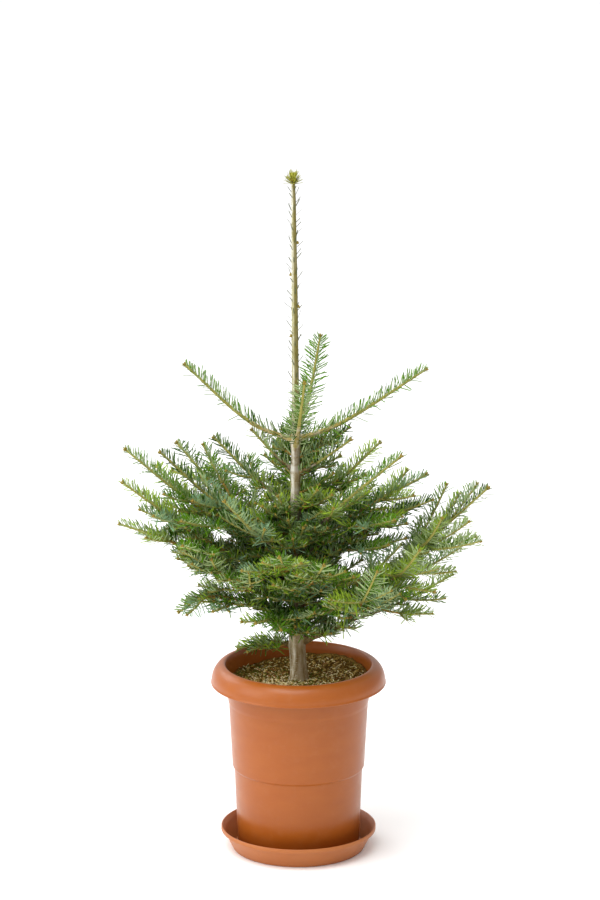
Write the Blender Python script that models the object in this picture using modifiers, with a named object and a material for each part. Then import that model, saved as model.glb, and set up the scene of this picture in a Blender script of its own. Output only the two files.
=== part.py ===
"""Potted fir: a young fir tree, about 1.2 m tall, in a plastic pot on its saucer.

Run it in Blender 4.5. Lengths are in metres, +Z is up, the front of the tree looks along -Y,
and the origin is the centre of the saucer's flat underside.
"""

import math
import random
from dataclasses import dataclass

import bmesh
import bpy
from mathutils import Matrix, Vector
from mathutils.bvhtree import BVHTree

# Clearance between pieces that touch on the real plant.
GAP = 0.0003
# Welding distance of every modifier that merges.
WELD = 0.00001
# Segments round the saucer, the pot and the soil inside it.
ROUND_STEPS = 32

# Saucer: radii and heights of its wall.
SAUCER_LIP_RADIUS = 0.134
SAUCER_NECK_RADIUS = 0.129
SAUCER_FOOT_RADIUS = 0.114
SAUCER_HEIGHT = 0.039
SAUCER_LIP_BAND = 0.007
SAUCER_LIP_BEVEL = 0.001
SAUCER_WALL = 0.0025

# Pot: outer radius of its body at rising heights above the saucer's underside.
POT_FLOOR = SAUCER_WALL + GAP
POT_FLOOR_THICKNESS = 0.003
POT_WALL = 0.0025
POT_BODY = (
    (0.0070, 0.1050),
    (0.1430, 0.1105),
    (0.1500, 0.1140),
    (0.2620, 0.1200),
    (0.2680, 0.1216),
    (0.3020, 0.1258),
    (0.3170, 0.1270),
)
POT_FOOT_BEVEL = 0.003
# The rim bulges out and down from the pot's mouth as a quarter round.
RIM_TOP = 0.332
RIM_MOUTH_RADIUS = 0.1275
RIM_MOUTH_BEVEL = 0.0016
RIM_RADIUS = 0.150
RIM_SKIRT = 0.298
RIM_EDGE = 0.0022
RIM_ARC_STEPS = 5
RIM_INNER_STEPS = 3

# Soil: nearly level, heaped against the wall at the back right.
SOIL_LEVEL = 0.3020
SOIL_DIP = 0.0030
SOIL_FLAT_RADIUS = 0.030
SOIL_RINGS = (0.6, 0.997)
SOIL_HEAP = 0.015
SOIL_HEAP_AZIMUTH = 55.0

# Trunk: height, radius and lean along X, from the cut at soil level to the leader's tip.
TRUNK = (
    (SOIL_LEVEL + GAP, 0.0190, 0.0015),
    (0.3080, 0.0165, 0.0010),
    (0.3200, 0.0147, 0.0005),
    (0.3900, 0.0130, -0.0040),
    (0.4600, 0.0108, -0.0045),
    (0.5170, 0.0095, -0.0050),
    (0.6400, 0.0081, -0.0050),
    (0.7200, 0.0074, -0.0050),
    (0.7350, 0.0066, -0.0044),
    (0.8870, 0.0060, -0.0046),
    (1.0000, 0.0052, -0.0058),
    (1.1450, 0.0038, -0.0080),
    (1.1750, 0.0032, -0.0088),
)
TRUNK_BEVEL = 3

# Boughs: radius at the foot for each metre of total growth, and the collar where they leave the trunk.
BOUGH_RADIUS = 0.0021
BOUGH_RADIUS_PER_METRE = 0.0068
BOUGH_TAPER = 0.74
COLLAR_SWELL = 1.35
COLLAR_LENGTH = 0.014
# The first point of a bough lies inside the trunk, at this share of the trunk's radius.
COLLAR_SINK = 0.9
BOUGH_SAG = 0.05
BOUGH_BEVEL = 1
# A bough is bare for this share of its first year. Its foliage begins there. A mass that springs
# from the trunk with no limb of its own is bare for a smaller share.
BARE_SHARE = 0.62
SPUR_BARE_SHARE = 0.45

# Stems inside the foliage.
STEM_TIP_RADIUS = 0.0013
STEM_LEAD = 0.008
STEM_BEVEL = 0

# Side shoots: angle from the shoot that bears them, how much flatter they lie, and how much they vary.
SIDE_ANGLE = 52.0
SIDE_ANGLE_SPREAD = (0.85, 1.10)
SIDE_DROOP_SPREAD = (0.4, 1.4)
SIDE_LENGTH_SPREAD = (0.85, 1.15)
SIDE_OFFSET = 0.004
CREST_ANGLE = 14.0
SHORTEST_SHOOT = 0.036
SHOOT_TRIES = (1.0, 0.86, 0.72, 0.58)

# Blades: a shoot with its needles is a toothed blade, folded along the shoot.
NEEDLE = 0.021
NEEDLE_SWEEP = 0.008
# Teeth at a blade's ends are shorter than those in its middle, and each leans on by this much.
END_NEEDLE_SHARE = 0.72
TOOTH_LEAN = 0.85
TOOTH_PITCH = 0.037
FEWEST_TEETH = 2
BLADE_THICKNESS = 0.0018
BLADE_FOLD = 30.0
BLADE_ROOT = 0.0021
BLADE_VALLEY = 0.0040
BLADE_TIP = 0.012
BLADE_TIP_VALLEY = 0.003
# A long leading shoot also has a fin of shorter needles along its top.
FIN_NEEDLE = 0.014
FIN_TIP = 0.007
FIN_FROM = 0.130
# Clearance kept between one mass and the next.
KEEP_CLEAR = 0.0006

# Tuft on the leader's tip: a ring of short needles round the buds.
TUFT_RISE = 0.008
TUFT_RADIUS = 0.0034
TUFT_NEEDLES = 6
TUFT_NEEDLE = 0.0155
TUFT_NEEDLE_RADIUS = 0.0015
TUFT_NEEDLE_TAPER = 0.25
# Each ring of the tuft: how far up the bud it springs, and its tilt from upright in degrees.
TUFT_RINGS = ((0.35, 62.0), (0.65, 34.0))
TUFT_SHOULDER = 0.6
TUFT_POINT = 0.45
TUFT_BEVEL = 1


@dataclass(frozen=True)
class Bough:
    """A main bough: where it leaves the trunk, and the growth of each of its years."""

    name: str
    foot: float
    azimuth: float
    growth: tuple
    rises: tuple
    share: float = 0.6
    limb: bool = True
    roll: float = 0.0
    droop: float = 0.1
    crest: float = 0.0


# Azimuths are degrees anticlockwise from +X, seen from above. Each year has its length and how
# steeply it climbs in degrees. share is the length of a side shoot beside the leading shoot. roll
# turns the fan of side shoots about the bough, in degrees, and droop lowers them. crest is the
# share of a third shoot on the upper side of the last two forks.
BOUGHS = (
    Bough("top_left", 0.727, 178, (0.085, 0.146), (23, 42), 0.0),
    Bough("top_right", 0.729, 1, (0.084, 0.168), (21, 33), 0.0),
    Bough("top_front", 0.716, -84, (0.080, 0.125), (42, 48), 0.0),
    Bough("top_back", 0.733, 73, (0.087, 0.118), (34, 53), 0.0),
    Bough("spur_right", 0.667, -22, (0.047, 0.075), (33, 37), 0.0, False),
    Bough("upper_left", 0.560, 177, (0.126, 0.148), (21, 41), 0.55),
    Bough("upper_back_left", 0.606, 148, (0.092, 0.102), (28, 36), 0.45),
    Bough("upper_back", 0.600, 92, (0.090, 0.120), (25, 38), 0.5),
    Bough("upper_back_right", 0.606, 33, (0.084, 0.111), (22, 33), 0.5),
    Bough("upper_front_right", 0.517, -28, (0.107, 0.182), (53, 42), 0.45),
    Bough("upper_front_left", 0.522, 222, (0.094, 0.110), (32, 44)),
    Bough("middle_left", 0.484, 183, (0.143, 0.085, 0.142), (42, 31, 40)),
    Bough("middle_left_low", 0.470, 190, (0.142, 0.098, 0.116), (29, 35, 38), 0.7),
    Bough("middle_back_left", 0.508, 132, (0.127, 0.115, 0.104), (22, 28, 30)),
    Bough("middle_back_right", 0.486, 68, (0.107, 0.097, 0.087), (20, 26, 28)),
    Bough("middle_right", 0.500, 6, (0.105, 0.085, 0.088), (46, 31, 28), 0.78),
    Bough("middle_right_low", 0.466, 4, (0.096, 0.078, 0.081), (45, 30, 26), 0.78),
    Bough("middle_front", 0.495, -97, (0.085, 0.080, 0.070), (18, 22, 27), 0.6, False),
    Bough("lower_left", 0.456, 186, (0.120, 0.119, 0.091), (17, 33, 21), 0.55, roll=8),
    Bough("lower_left_front", 0.446, 208, (0.091, 0.076, 0.072), (18, 34, 34), roll=25),
    Bough("lower_back_left", 0.446, 148, (0.110, 0.095, 0.090), (15, 26, 30), roll=12),
    Bough("lower_back_right", 0.436, 92, (0.110, 0.095, 0.090), (15, 26, 30)),
    Bough("lower_front", 0.462, -76, (0.060, 0.080, 0.075), (20, 27, 33), 0.6, False),
    Bough("lower_front_right", 0.424, -46, (0.077, 0.090), (43, 25), 0.7, False),
    Bough("low_left", 0.420, 188, (0.102, 0.061, 0.048), (17, 6, -29)),
    Bough("low_front_left", 0.410, 238, (0.069, 0.060), (17, 6), 0.8, False),
    Bough("low_back_left", 0.360, 168, (0.048, 0.057), (9, -16), 0.6, False),
    Bough("low_back_right", 0.385, 42, (0.100, 0.090, 0.080), (16, 28, 30)),
    Bough(
        "low_right", 0.368, -5, (0.095, 0.100, 0.081, 0.159), (25, 46, 48, 44), 0.70,
        roll=-26, droop=0.24, crest=0.74,
    ),
    Bough("low_right_front", 0.400, -22, (0.111, 0.085, 0.076), (32, 20, 0), 0.45, roll=10),
    Bough("spur_left", 0.672, 170, (0.047, 0.055), (40, 46), 0.0, False),
)


@dataclass
class Shoot:
    """A straight shoot: its root, direction and length, how many forks lead to it, its upper side."""

    root: Vector
    direction: Vector
    length: float
    order: int
    up: Vector


def clear_scene():
    """Remove everything that the scene holds, and the collections that earlier runs made."""
    for thing in list(bpy.data.objects):
        bpy.data.objects.remove(thing, do_unlink=True)
    for group in list(bpy.data.collections):
        bpy.data.collections.remove(group)


def new_collection(name):
    """A new collection in the scene."""
    group = bpy.data.collections.new(name)
    bpy.context.scene.collection.children.link(group)
    return group


def new_material(name, colour, roughness):
    """A plain Principled material with a linear base colour."""
    material = bpy.data.materials.new(name)
    material.use_nodes = True
    shader = material.node_tree.nodes["Principled BSDF"]
    shader.inputs["Base Color"].default_value = (*colour, 1.0)
    shader.inputs["Roughness"].default_value = roughness
    material.diffuse_color = (*colour, 1.0)
    return material


def add_mesh(name, mesh, group, material=None):
    """An object that holds a mesh, linked to a collection."""
    thing = bpy.data.objects.new(name, mesh)
    group.objects.link(thing)
    if material:
        mesh.materials.clear()
        mesh.materials.append(material)
    return thing


def baked_mesh(thing, weld=False):
    """The mesh that an object shows once its modifiers have run, with loose caps welded if asked."""
    bpy.context.view_layer.update()
    shown = thing.evaluated_get(bpy.context.evaluated_depsgraph_get())
    mesh = bpy.data.meshes.new_from_object(shown)
    if not weld:
        return mesh
    work = bmesh.new()
    work.from_mesh(mesh)
    bmesh.ops.remove_doubles(work, verts=work.verts, dist=WELD)
    work.to_mesh(mesh)
    work.free()
    return mesh


def turned(name, profile, steps, group, material):
    """A solid turned about Z: its profile runs from the axis over the top and down to the axis."""
    mesh = bpy.data.meshes.new(name)
    points = [(radius, 0.0, height) for radius, height in profile]
    mesh.from_pydata(points, [(k, k + 1) for k in range(len(points) - 1)], [])
    thing = add_mesh(name, mesh, group, material)
    screw = thing.modifiers.new("Turn", "SCREW")
    screw.axis = "Z"
    screw.angle = math.tau
    screw.steps = steps
    screw.render_steps = steps
    screw.use_merge_vertices = True
    screw.merge_threshold = WELD
    return thing


def tube_mesh(name, points, radii, bevel):
    """A tapering tube through the points, as a closed mesh made from a bevelled curve."""
    curve = bpy.data.curves.new(name, "CURVE")
    curve.dimensions = "3D"
    curve.bevel_depth = 1.0
    curve.bevel_resolution = bevel
    curve.use_fill_caps = True
    curve.render_resolution_u = 0
    spline = curve.splines.new("POLY")
    spline.points.add(len(points) - 1)
    for place, point, radius in zip(spline.points, points, radii):
        place.co = (*point, 1.0)
        place.radius = radius
    thing = bpy.data.objects.new(name, curve)
    bpy.context.scene.collection.objects.link(thing)
    mesh = baked_mesh(thing, weld=True)
    bpy.data.objects.remove(thing, do_unlink=True)
    bpy.data.curves.remove(curve)
    mesh.name = name
    return mesh


def build_saucer(group, material):
    """The saucer: a shallow dish with a thick lip."""
    lip_foot = SAUCER_HEIGHT - SAUCER_LIP_BAND
    lip_inner = SAUCER_LIP_RADIUS - SAUCER_WALL
    bevel = SAUCER_LIP_BEVEL
    profile = (
        (0.0, SAUCER_WALL),
        (SAUCER_FOOT_RADIUS - SAUCER_WALL, SAUCER_WALL),
        (SAUCER_NECK_RADIUS - SAUCER_WALL, lip_foot),
        (lip_inner, SAUCER_HEIGHT - bevel),
        (lip_inner + bevel, SAUCER_HEIGHT),
        (SAUCER_LIP_RADIUS - bevel, SAUCER_HEIGHT),
        (SAUCER_LIP_RADIUS, SAUCER_HEIGHT - bevel),
        (SAUCER_LIP_RADIUS, lip_foot),
        (SAUCER_NECK_RADIUS, lip_foot - bevel),
        (SAUCER_FOOT_RADIUS, 0.0),
        (0.0, 0.0),
    )
    return turned("saucer", profile, ROUND_STEPS, group, material)


def rim_arc(inset, steps):
    """Points down the rim's quarter round, inset from its outer face."""
    wide = RIM_RADIUS - RIM_MOUTH_RADIUS - inset
    tall = RIM_TOP - RIM_SKIRT - inset
    points = []
    for k in range(steps + 1):
        angle = math.pi / 2 * (1 - k / steps)
        points.append((RIM_MOUTH_RADIUS + wide * math.cos(angle), RIM_SKIRT + tall * math.sin(angle)))
    return points


def build_pot(group, material):
    """The pot: a stepped, tapering body under a bulging rim, 2.5 mm thick all over."""
    inside = [(radius - POT_WALL, height) for height, radius in POT_BODY[1:]]
    outside = [(radius, height) for height, radius in reversed(POT_BODY)]
    floor_top = POT_FLOOR + POT_FLOOR_THICKNESS
    foot_radius = POT_BODY[0][1]
    profile = [(0.0, floor_top), (foot_radius - POT_WALL, floor_top)]
    profile += inside
    profile += [(RIM_MOUTH_RADIUS - RIM_MOUTH_BEVEL, RIM_TOP - RIM_MOUTH_BEVEL)]
    profile += rim_arc(0.0, RIM_ARC_STEPS)
    profile += [(RIM_RADIUS, RIM_SKIRT - RIM_EDGE)]
    profile += [(RIM_RADIUS - POT_WALL, RIM_SKIRT - RIM_EDGE)]
    profile += list(reversed(rim_arc(POT_WALL, RIM_INNER_STEPS)))[:-1]
    profile += outside
    profile += [(foot_radius - POT_FOOT_BEVEL, POT_FLOOR), (0.0, POT_FLOOR)]
    return turned("pot", profile, ROUND_STEPS, group, material)


def build_soil(group, material):
    """The soil that fills the pot, clear of its wall, heaped towards the back right."""
    floor_top = POT_FLOOR + POT_FLOOR_THICKNESS + GAP
    inset = POT_WALL + GAP
    side = [(radius - inset, height) for height, radius in reversed(POT_BODY) if height <= SOIL_LEVEL]
    edge = side[0][0]
    profile = [(0.0, SOIL_LEVEL), (SOIL_FLAT_RADIUS, SOIL_LEVEL)]
    profile += [(edge * share, SOIL_LEVEL - SOIL_DIP) for share in SOIL_RINGS]
    profile += side[1:-1]
    profile += [(POT_BODY[0][1] - inset, floor_top), (0.0, floor_top)]
    thing = turned("soil_shape", profile, ROUND_STEPS, group, material)
    mesh = baked_mesh(thing)
    bpy.data.objects.remove(thing, do_unlink=True)
    for vertex in mesh.vertices:
        radius = math.hypot(vertex.co.x, vertex.co.y)
        if vertex.co.z > SOIL_LEVEL - 2 * SOIL_DIP and radius > SOIL_FLAT_RADIUS + GAP:
            turn = math.atan2(vertex.co.y, vertex.co.x) - math.radians(SOIL_HEAP_AZIMUTH)
            spread = (radius - SOIL_FLAT_RADIUS) / (edge - SOIL_FLAT_RADIUS)
            vertex.co.z += SOIL_HEAP * max(0.0, math.cos(turn)) ** 2 * spread ** 2
    return add_mesh("soil", mesh, group, material)


def trunk_at(height):
    """The trunk's centre and radius at a height."""
    for low, high in zip(TRUNK, TRUNK[1:]):
        if height <= high[0]:
            break
    share = (height - low[0]) / (high[0] - low[0])
    radius = low[1] + (high[1] - low[1]) * share
    lean = low[2] + (high[2] - low[2]) * share
    return Vector((lean, 0.0, height)), radius


def trunk_mesh(name, swell):
    """The trunk as a closed mesh, swollen by a clearance."""
    points = [Vector((lean, 0.0, height)) for height, radius, lean in TRUNK]
    # The lowest stretch stands upright, so that the cut at soil level is level.
    points[0].x = points[1].x
    radii = [radius + swell for height, radius, lean in TRUNK]
    return tube_mesh(name, points, radii, TRUNK_BEVEL)


def heading(azimuth, rise):
    """The unit vector at an azimuth that climbs by a number of degrees."""
    flat = math.cos(math.radians(rise))
    turn = math.radians(azimuth)
    return Vector((math.cos(turn) * flat, math.sin(turn) * flat, math.sin(math.radians(rise))))


def upper_side(direction, roll):
    """The unit vector square to a shoot that points most nearly up, turned by the fan's roll."""
    across = direction.cross(Vector((0.0, 0.0, 1.0))).normalized()
    up = across.cross(direction).normalized()
    return Matrix.Rotation(math.radians(roll), 3, direction) @ up


def bough_nodes(bough):
    """The points where each year of a bough begins and ends, from the trunk's centre out."""
    nodes = [trunk_at(bough.foot)[0]]
    for length, rise in zip(bough.growth, bough.rises):
        nodes.append(nodes[-1] + heading(bough.azimuth, rise) * length)
    return nodes


def limb_tip(bough):
    """Where a bough's bare limb ends and its foliage begins."""
    foot, fork = bough_nodes(bough)[:2]
    return foot.lerp(fork, BARE_SHARE if bough.limb else SPUR_BARE_SHARE)


def bough_radius(bough, travelled):
    """A bough's radius at a distance along it, measured from the trunk's centre."""
    total = sum(bough.growth)
    foot = BOUGH_RADIUS + BOUGH_RADIUS_PER_METRE * total
    return foot + (STEM_TIP_RADIUS - foot) * (travelled / total) ** BOUGH_TAPER


def side_shoots(bough, node, direction, years, dice):
    """The pair of side shoots that leave a bough at one of its nodes, and any third one above."""
    shoots = []
    up = upper_side(direction, bough.roll)
    for hand in (1, -1):
        angle = math.radians(SIDE_ANGLE * dice.uniform(*SIDE_ANGLE_SPREAD)) * hand
        aim = Matrix.Rotation(angle, 3, up) @ direction
        aim.z -= bough.droop * dice.uniform(*SIDE_DROOP_SPREAD)
        aim.normalize()
        length = sum(year * bough.share * dice.uniform(*SIDE_LENGTH_SPREAD) for year in years)
        length = max(length, SHORTEST_SHOOT)
        shoots.append(Shoot(node.copy(), aim, length, 1, upper_side(aim, bough.roll)))
    if bough.crest > 0 and len(years) <= 2:
        aim = Matrix.Rotation(math.radians(CREST_ANGLE), 3, direction.cross(up)) @ direction
        length = sum(year * bough.crest * dice.uniform(*SIDE_LENGTH_SPREAD) for year in years)
        shoots.append(Shoot(node.copy(), aim, length, 1, upper_side(aim, bough.roll)))
    return shoots


def bough_shoots(bough, seed):
    """Every shoot of a bough that bears needles: its leading years first, then the side shoots."""
    dice = random.Random(seed)
    nodes = bough_nodes(bough)
    first = heading(bough.azimuth, bough.rises[0])
    root = limb_tip(bough) + first * STEM_LEAD
    length = (nodes[1] - root).length - SIDE_OFFSET
    leading = [Shoot(root, first, length, 0, upper_side(first, bough.roll))]
    sides = []
    for year in range(1, len(bough.growth)):
        direction = (nodes[year + 1] - nodes[year]).normalized()
        start = nodes[year] + direction * STEM_LEAD
        length = bough.growth[year] - STEM_LEAD
        leading.append(Shoot(start, direction, length, 0, upper_side(direction, bough.roll)))
        if bough.share > 0:
            fork = nodes[year] + direction * (STEM_LEAD + SIDE_OFFSET)
            sides += side_shoots(bough, fork, direction, bough.growth[year:], dice)
    return leading, sides


def bough_limb(bough):
    """The points and radii of a bough's bare first year, from the trunk's centre to its tip."""
    foot = bough_nodes(bough)[0]
    tip = limb_tip(bough)
    length = (tip - foot).length
    trunk_radius = trunk_at(bough.foot)[1]
    collar = (trunk_radius + COLLAR_LENGTH) / length
    shares = (0.0, trunk_radius * COLLAR_SINK / length, collar, 1.0)
    points = []
    radii = []
    for share in shares:
        point = foot.lerp(tip, share)
        point.z -= BOUGH_SAG * length * math.sin(math.pi * share)
        points.append(point)
        radii.append(bough_radius(bough, length * share))
    radii[0] *= COLLAR_SWELL
    radii[1] *= COLLAR_SWELL
    return points, radii


def cut_from(mesh, name, cutter):
    """The mesh less the cutter."""
    thing = add_mesh(name, mesh, bpy.context.scene.collection)
    cut = thing.modifiers.new("Clear of the trunk", "BOOLEAN")
    cut.operation = "DIFFERENCE"
    cut.solver = "EXACT"
    cut.object = cutter
    result = baked_mesh(thing)
    bpy.data.objects.remove(thing, do_unlink=True)
    return result


def wing_outline(length, needle, tip):
    """One side of a toothed blade: x runs along the shoot and y out from it, root to tip."""
    teeth = max(FEWEST_TEETH, round(length / TOOTH_PITCH))
    step = length / teeth
    points = [(0.0, 0.0)]
    for k in range(teeth):
        bulge = math.sin(math.pi * (k + 0.5) / teeth)
        out = needle * (END_NEEDLE_SHARE + (1 - END_NEEDLE_SHARE) * bulge)
        points.append((step * k, BLADE_VALLEY if k else BLADE_ROOT))
        points.append((step * (k + TOOTH_LEAN) + NEEDLE_SWEEP * out / NEEDLE, out))
    points.append((length, BLADE_TIP_VALLEY))
    points.append((length + tip, 0.0))
    return points


def wing(name, outline, lift, both, shoot, group):
    """A toothed plate along a shoot, lifted from its plane, alone or with its mirror image."""
    mesh = bpy.data.meshes.new(name)
    work = bmesh.new()
    rise = math.radians(lift)
    verts = [work.verts.new((x, y * math.cos(rise), y * math.sin(rise))) for x, y in outline]
    work.faces.new(verts)
    work.to_mesh(mesh)
    work.free()
    thing = add_mesh(name, mesh, group)
    if both:
        mirror = thing.modifiers.new("Other side", "MIRROR")
        mirror.use_axis = (False, True, False)
        mirror.merge_threshold = WELD
    shell = thing.modifiers.new("Thickness", "SOLIDIFY")
    shell.thickness = BLADE_THICKNESS
    shell.offset = 0.0
    shell.use_even_offset = True
    across = shoot.up.cross(shoot.direction)
    turn = Matrix((shoot.direction, across, shoot.up)).transposed().to_4x4()
    thing.matrix_world = Matrix.Translation(shoot.root) @ turn
    return thing


def blade(name, shoot, ends, group):
    """The blades of one shoot."""
    tip = BLADE_TIP if ends else 0.0
    pieces = [wing(name, wing_outline(shoot.length, NEEDLE, tip), BLADE_FOLD, True, shoot, group)]
    if shoot.order == 0 and shoot.length > FIN_FROM:
        fin = wing_outline(shoot.length, FIN_NEEDLE, FIN_TIP if ends else 0.0)
        pieces.append(wing(name + "_fin", fin, 90.0, False, shoot, group))
    return pieces


def surface(thing, swell=0.0):
    """A search tree of an object's evaluated surface in world space, swollen by a clearance."""
    mesh = baked_mesh(thing)
    place = thing.matrix_world
    points = [place @ (vertex.co + vertex.normal * swell) for vertex in mesh.vertices]
    faces = [tuple(face.vertices) for face in mesh.polygons]
    bpy.data.meshes.remove(mesh)
    return BVHTree.FromPolygons(points, faces)


class TakenSpace:
    """What already stands in the crown, by the name of the mass or limb that owns it."""

    def __init__(self):
        self.taken = []

    def add(self, owner, thing):
        """Note an object's surface under its owner."""
        self.taken.append((owner, surface(thing)))

    def owners_hit(self, thing, owner):
        """The other owners that an object would touch."""
        swollen = surface(thing, KEEP_CLEAR)
        return {other for other, tree in self.taken if other != owner and tree.overlap(swollen)}


def place_shoot(name, shoot, ends, space, group):
    """Add a shoot's blades where they touch no other mass or limb, shortened if need be."""
    full = shoot.length
    for share in SHOOT_TRIES:
        shoot.length = full * share
        if shoot.length < SHORTEST_SHOOT and share < 1.0:
            break
        pieces = blade(name, shoot, ends, group)
        if not any(space.owners_hit(piece, name) for piece in pieces):
            for piece in pieces:
                space.add(name, piece)
            return True
        for piece in pieces:
            bpy.data.objects.remove(piece, do_unlink=True)
    return False


def stem_points(bough):
    """The points and radii of the stem inside a bough's foliage."""
    nodes = bough_nodes(bough)
    points, radii = bough_limb(bough)
    if bough.limb:
        tip = points[-1]
        end = (tip - points[-2]).normalized()
        # The first stretch goes on straight, so that its root faces the limb's tip squarely.
        points = [tip + end * GAP, tip + end * STEM_LEAD / 2]
        radii = [radii[-1]] * 2
    travelled = 0.0
    for year in range(1, len(bough.growth)):
        direction = (nodes[year + 1] - nodes[year]).normalized()
        travelled += bough.growth[year - 1]
        points.append(nodes[year] + direction * STEM_LEAD / 2)
        radii.append(bough_radius(bough, travelled))
    points.append(nodes[-1])
    radii.append(STEM_TIP_RADIUS)
    return points, radii


def largest_island(mesh):
    """Drop every loose scrap of a mesh but its largest piece."""
    work = bmesh.new()
    work.from_mesh(mesh)
    left = set(work.faces)
    islands = []
    while left:
        found = set()
        waiting = [left.pop()]
        while waiting:
            face = waiting.pop()
            found.add(face)
            near = {other for edge in face.edges for other in edge.link_faces} & left
            left -= near
            waiting += near
        islands.append(found)
    islands.sort(key=len)
    for scrap in islands[:-1]:
        verts = list({vertex for face in scrap for vertex in face.verts})
        bmesh.ops.delete(work, geom=verts, context="VERTS")
    work.to_mesh(mesh)
    work.free()
    return len(islands) - 1


def fuse(name, stem, sprays, group, material):
    """Join a stem and the objects of a collection into one mass, and remove the collection."""
    join = stem.modifiers.new("Fuse", "BOOLEAN")
    join.operation = "UNION"
    join.operand_type = "COLLECTION"
    join.collection = sprays
    join.solver = "MANIFOLD"
    mesh = baked_mesh(stem)
    bpy.data.objects.remove(stem, do_unlink=True)
    for piece in list(sprays.objects):
        bpy.data.objects.remove(piece, do_unlink=True)
    bpy.data.collections.remove(sprays)
    scraps = largest_island(mesh)
    if scraps:
        print(name, "dropped scraps:", scraps)
    return add_mesh(name, mesh, group, material)


def tuft_needle(root, turn, tilt, group):
    """A short three-sided needle that leans out from its root."""
    bpy.ops.mesh.primitive_cone_add(vertices=3, radius1=TUFT_NEEDLE_RADIUS,
                                    radius2=TUFT_NEEDLE_RADIUS * TUFT_NEEDLE_TAPER,
                                    depth=TUFT_NEEDLE, end_fill_type="NGON")
    needle = bpy.context.object
    for owner in list(needle.users_collection):
        owner.objects.unlink(needle)
    group.objects.link(needle)
    lift = Matrix.Translation((0.0, 0.0, TUFT_NEEDLE / 2))
    lean = Matrix.Rotation(turn, 4, "Z") @ Matrix.Rotation(math.radians(tilt), 4, "Y")
    needle.matrix_world = Matrix.Translation(root) @ lean @ lift


def build_tuft(group, material):
    """The rosette of short needles round the buds on the leader's tip."""
    height, radius, lean = TRUNK[-1]
    foot = Vector((lean, 0.0, height + GAP))
    top = foot + Vector((0.0, 0.0, TUFT_RISE))
    points = [foot, foot.lerp(top, TUFT_SHOULDER), top]
    mesh = tube_mesh("leader_tuft", points, [radius, TUFT_RADIUS, TUFT_RADIUS * TUFT_POINT], TUFT_BEVEL)
    core = add_mesh("leader_tuft_core", mesh, group)
    sprays = new_collection("leader_tuft_needles")
    for ring, (share, tilt) in enumerate(TUFT_RINGS):
        for k in range(TUFT_NEEDLES):
            turn = math.tau * (k + ring / len(TUFT_RINGS)) / TUFT_NEEDLES
            tuft_needle(foot.lerp(top, share), turn, tilt, sprays)
    fuse("leader_tuft", core, sprays, group, material)


def build_limb(bough, clearance, space, group, material):
    """The bare limb of a bough, cut 0.3 mm clear of the trunk."""
    name = bough.name + "_bough"
    points, radii = bough_limb(bough)
    mesh = cut_from(tube_mesh(name, points, radii, BOUGH_BEVEL), name, clearance)
    limb = add_mesh(name, mesh, group, material)
    report_touching(limb, name, space, {"trunk"})
    space.add(name, limb)


def build_stem(bough, clearance, space, group):
    """The stem that a bough's sprays are fused to, from its limb's tip or from the trunk."""
    name = bough.name + "_foliage"
    points, radii = stem_points(bough)
    mesh = tube_mesh(name, points, radii, STEM_BEVEL)
    if not bough.limb:
        mesh = cut_from(mesh, name, clearance)
    stem = add_mesh(name + "_stem", mesh, group)
    report_touching(stem, name, space, {"trunk", bough.name + "_bough"})
    space.add(name, stem)
    return stem


def report_touching(thing, name, space, allowed):
    """Print what an object would touch beside the pieces that it grows from."""
    touched = space.owners_hit(thing, name) - allowed
    if touched:
        print(name, "touches", sorted(touched))


def build_crown(clearance, space, group, material):
    """Every mass of foliage: the stems first, then the leading shoots, then the side shoots."""
    stems = {}
    sprays = {}
    shoots = {}
    for seed, bough in enumerate(BOUGHS):
        name = bough.name + "_foliage"
        stems[name] = build_stem(bough, clearance, space, group)
        sprays[name] = new_collection(name + "_sprays")
        shoots[name] = bough_shoots(bough, seed)
    for name, (leading, sides) in shoots.items():
        for shoot in leading:
            if not place_shoot(name, shoot, shoot is leading[-1], space, sprays[name]):
                print(name, "has no room for a leading shoot")
    for name, (leading, sides) in shoots.items():
        for shoot in sides:
            place_shoot(name, shoot, True, space, sprays[name])
    for name, stem in stems.items():
        fuse(name, stem, sprays[name], group, material)


def build():
    """Make every piece of the potted fir."""
    clear_scene()
    group = new_collection("potted_fir")
    cutters = new_collection("cutters")
    pot_plastic = new_material("pot plastic", (0.52, 0.19, 0.10), 0.5)
    saucer_plastic = new_material("saucer plastic", (0.50, 0.18, 0.09), 0.5)
    earth = new_material("potting soil", (0.12, 0.075, 0.042), 0.95)
    trunk_bark = new_material("trunk bark", (0.24, 0.20, 0.16), 0.85)
    bough_bark = new_material("bough bark", (0.19, 0.125, 0.07), 0.85)
    needles = new_material("needles", (0.055, 0.115, 0.045), 0.6)
    young_needles = new_material("young needles", (0.16, 0.19, 0.05), 0.6)

    build_saucer(group, saucer_plastic)
    pot = build_pot(group, pot_plastic)
    soil = build_soil(group, earth)
    trunk = add_mesh("trunk", trunk_mesh("trunk", 0.0), group, trunk_bark)
    clearance = add_mesh("trunk_clearance", trunk_mesh("trunk_clearance", GAP), cutters)
    clearance.display_type = "WIRE"
    clearance.hide_render = True
    space = TakenSpace()
    for thing in (pot, soil, trunk):
        space.add(thing.name, thing)
    for bough in BOUGHS:
        if bough.limb:
            build_limb(bough, clearance, space, group, bough_bark)
    build_crown(clearance, space, group, needles)
    build_tuft(group, young_needles)

    origin = bpy.data.objects.new("potted_fir_origin", None)
    group.objects.link(origin)
    for thing in group.objects:
        if thing is not origin:
            thing.parent = origin


build()
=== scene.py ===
"""Looks of the potted fir: bark, twigs, needle sprays, buds, pot, saucer, soil and the studio.

The boughs grow by the rule of the part's source, written again here and carried on to finer
twigs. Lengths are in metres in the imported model's frame: +Z is up and -Y faces the camera.
"""

import logging
import math
import random
from collections.abc import Sequence
from dataclasses import dataclass, field
from enum import Enum

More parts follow.
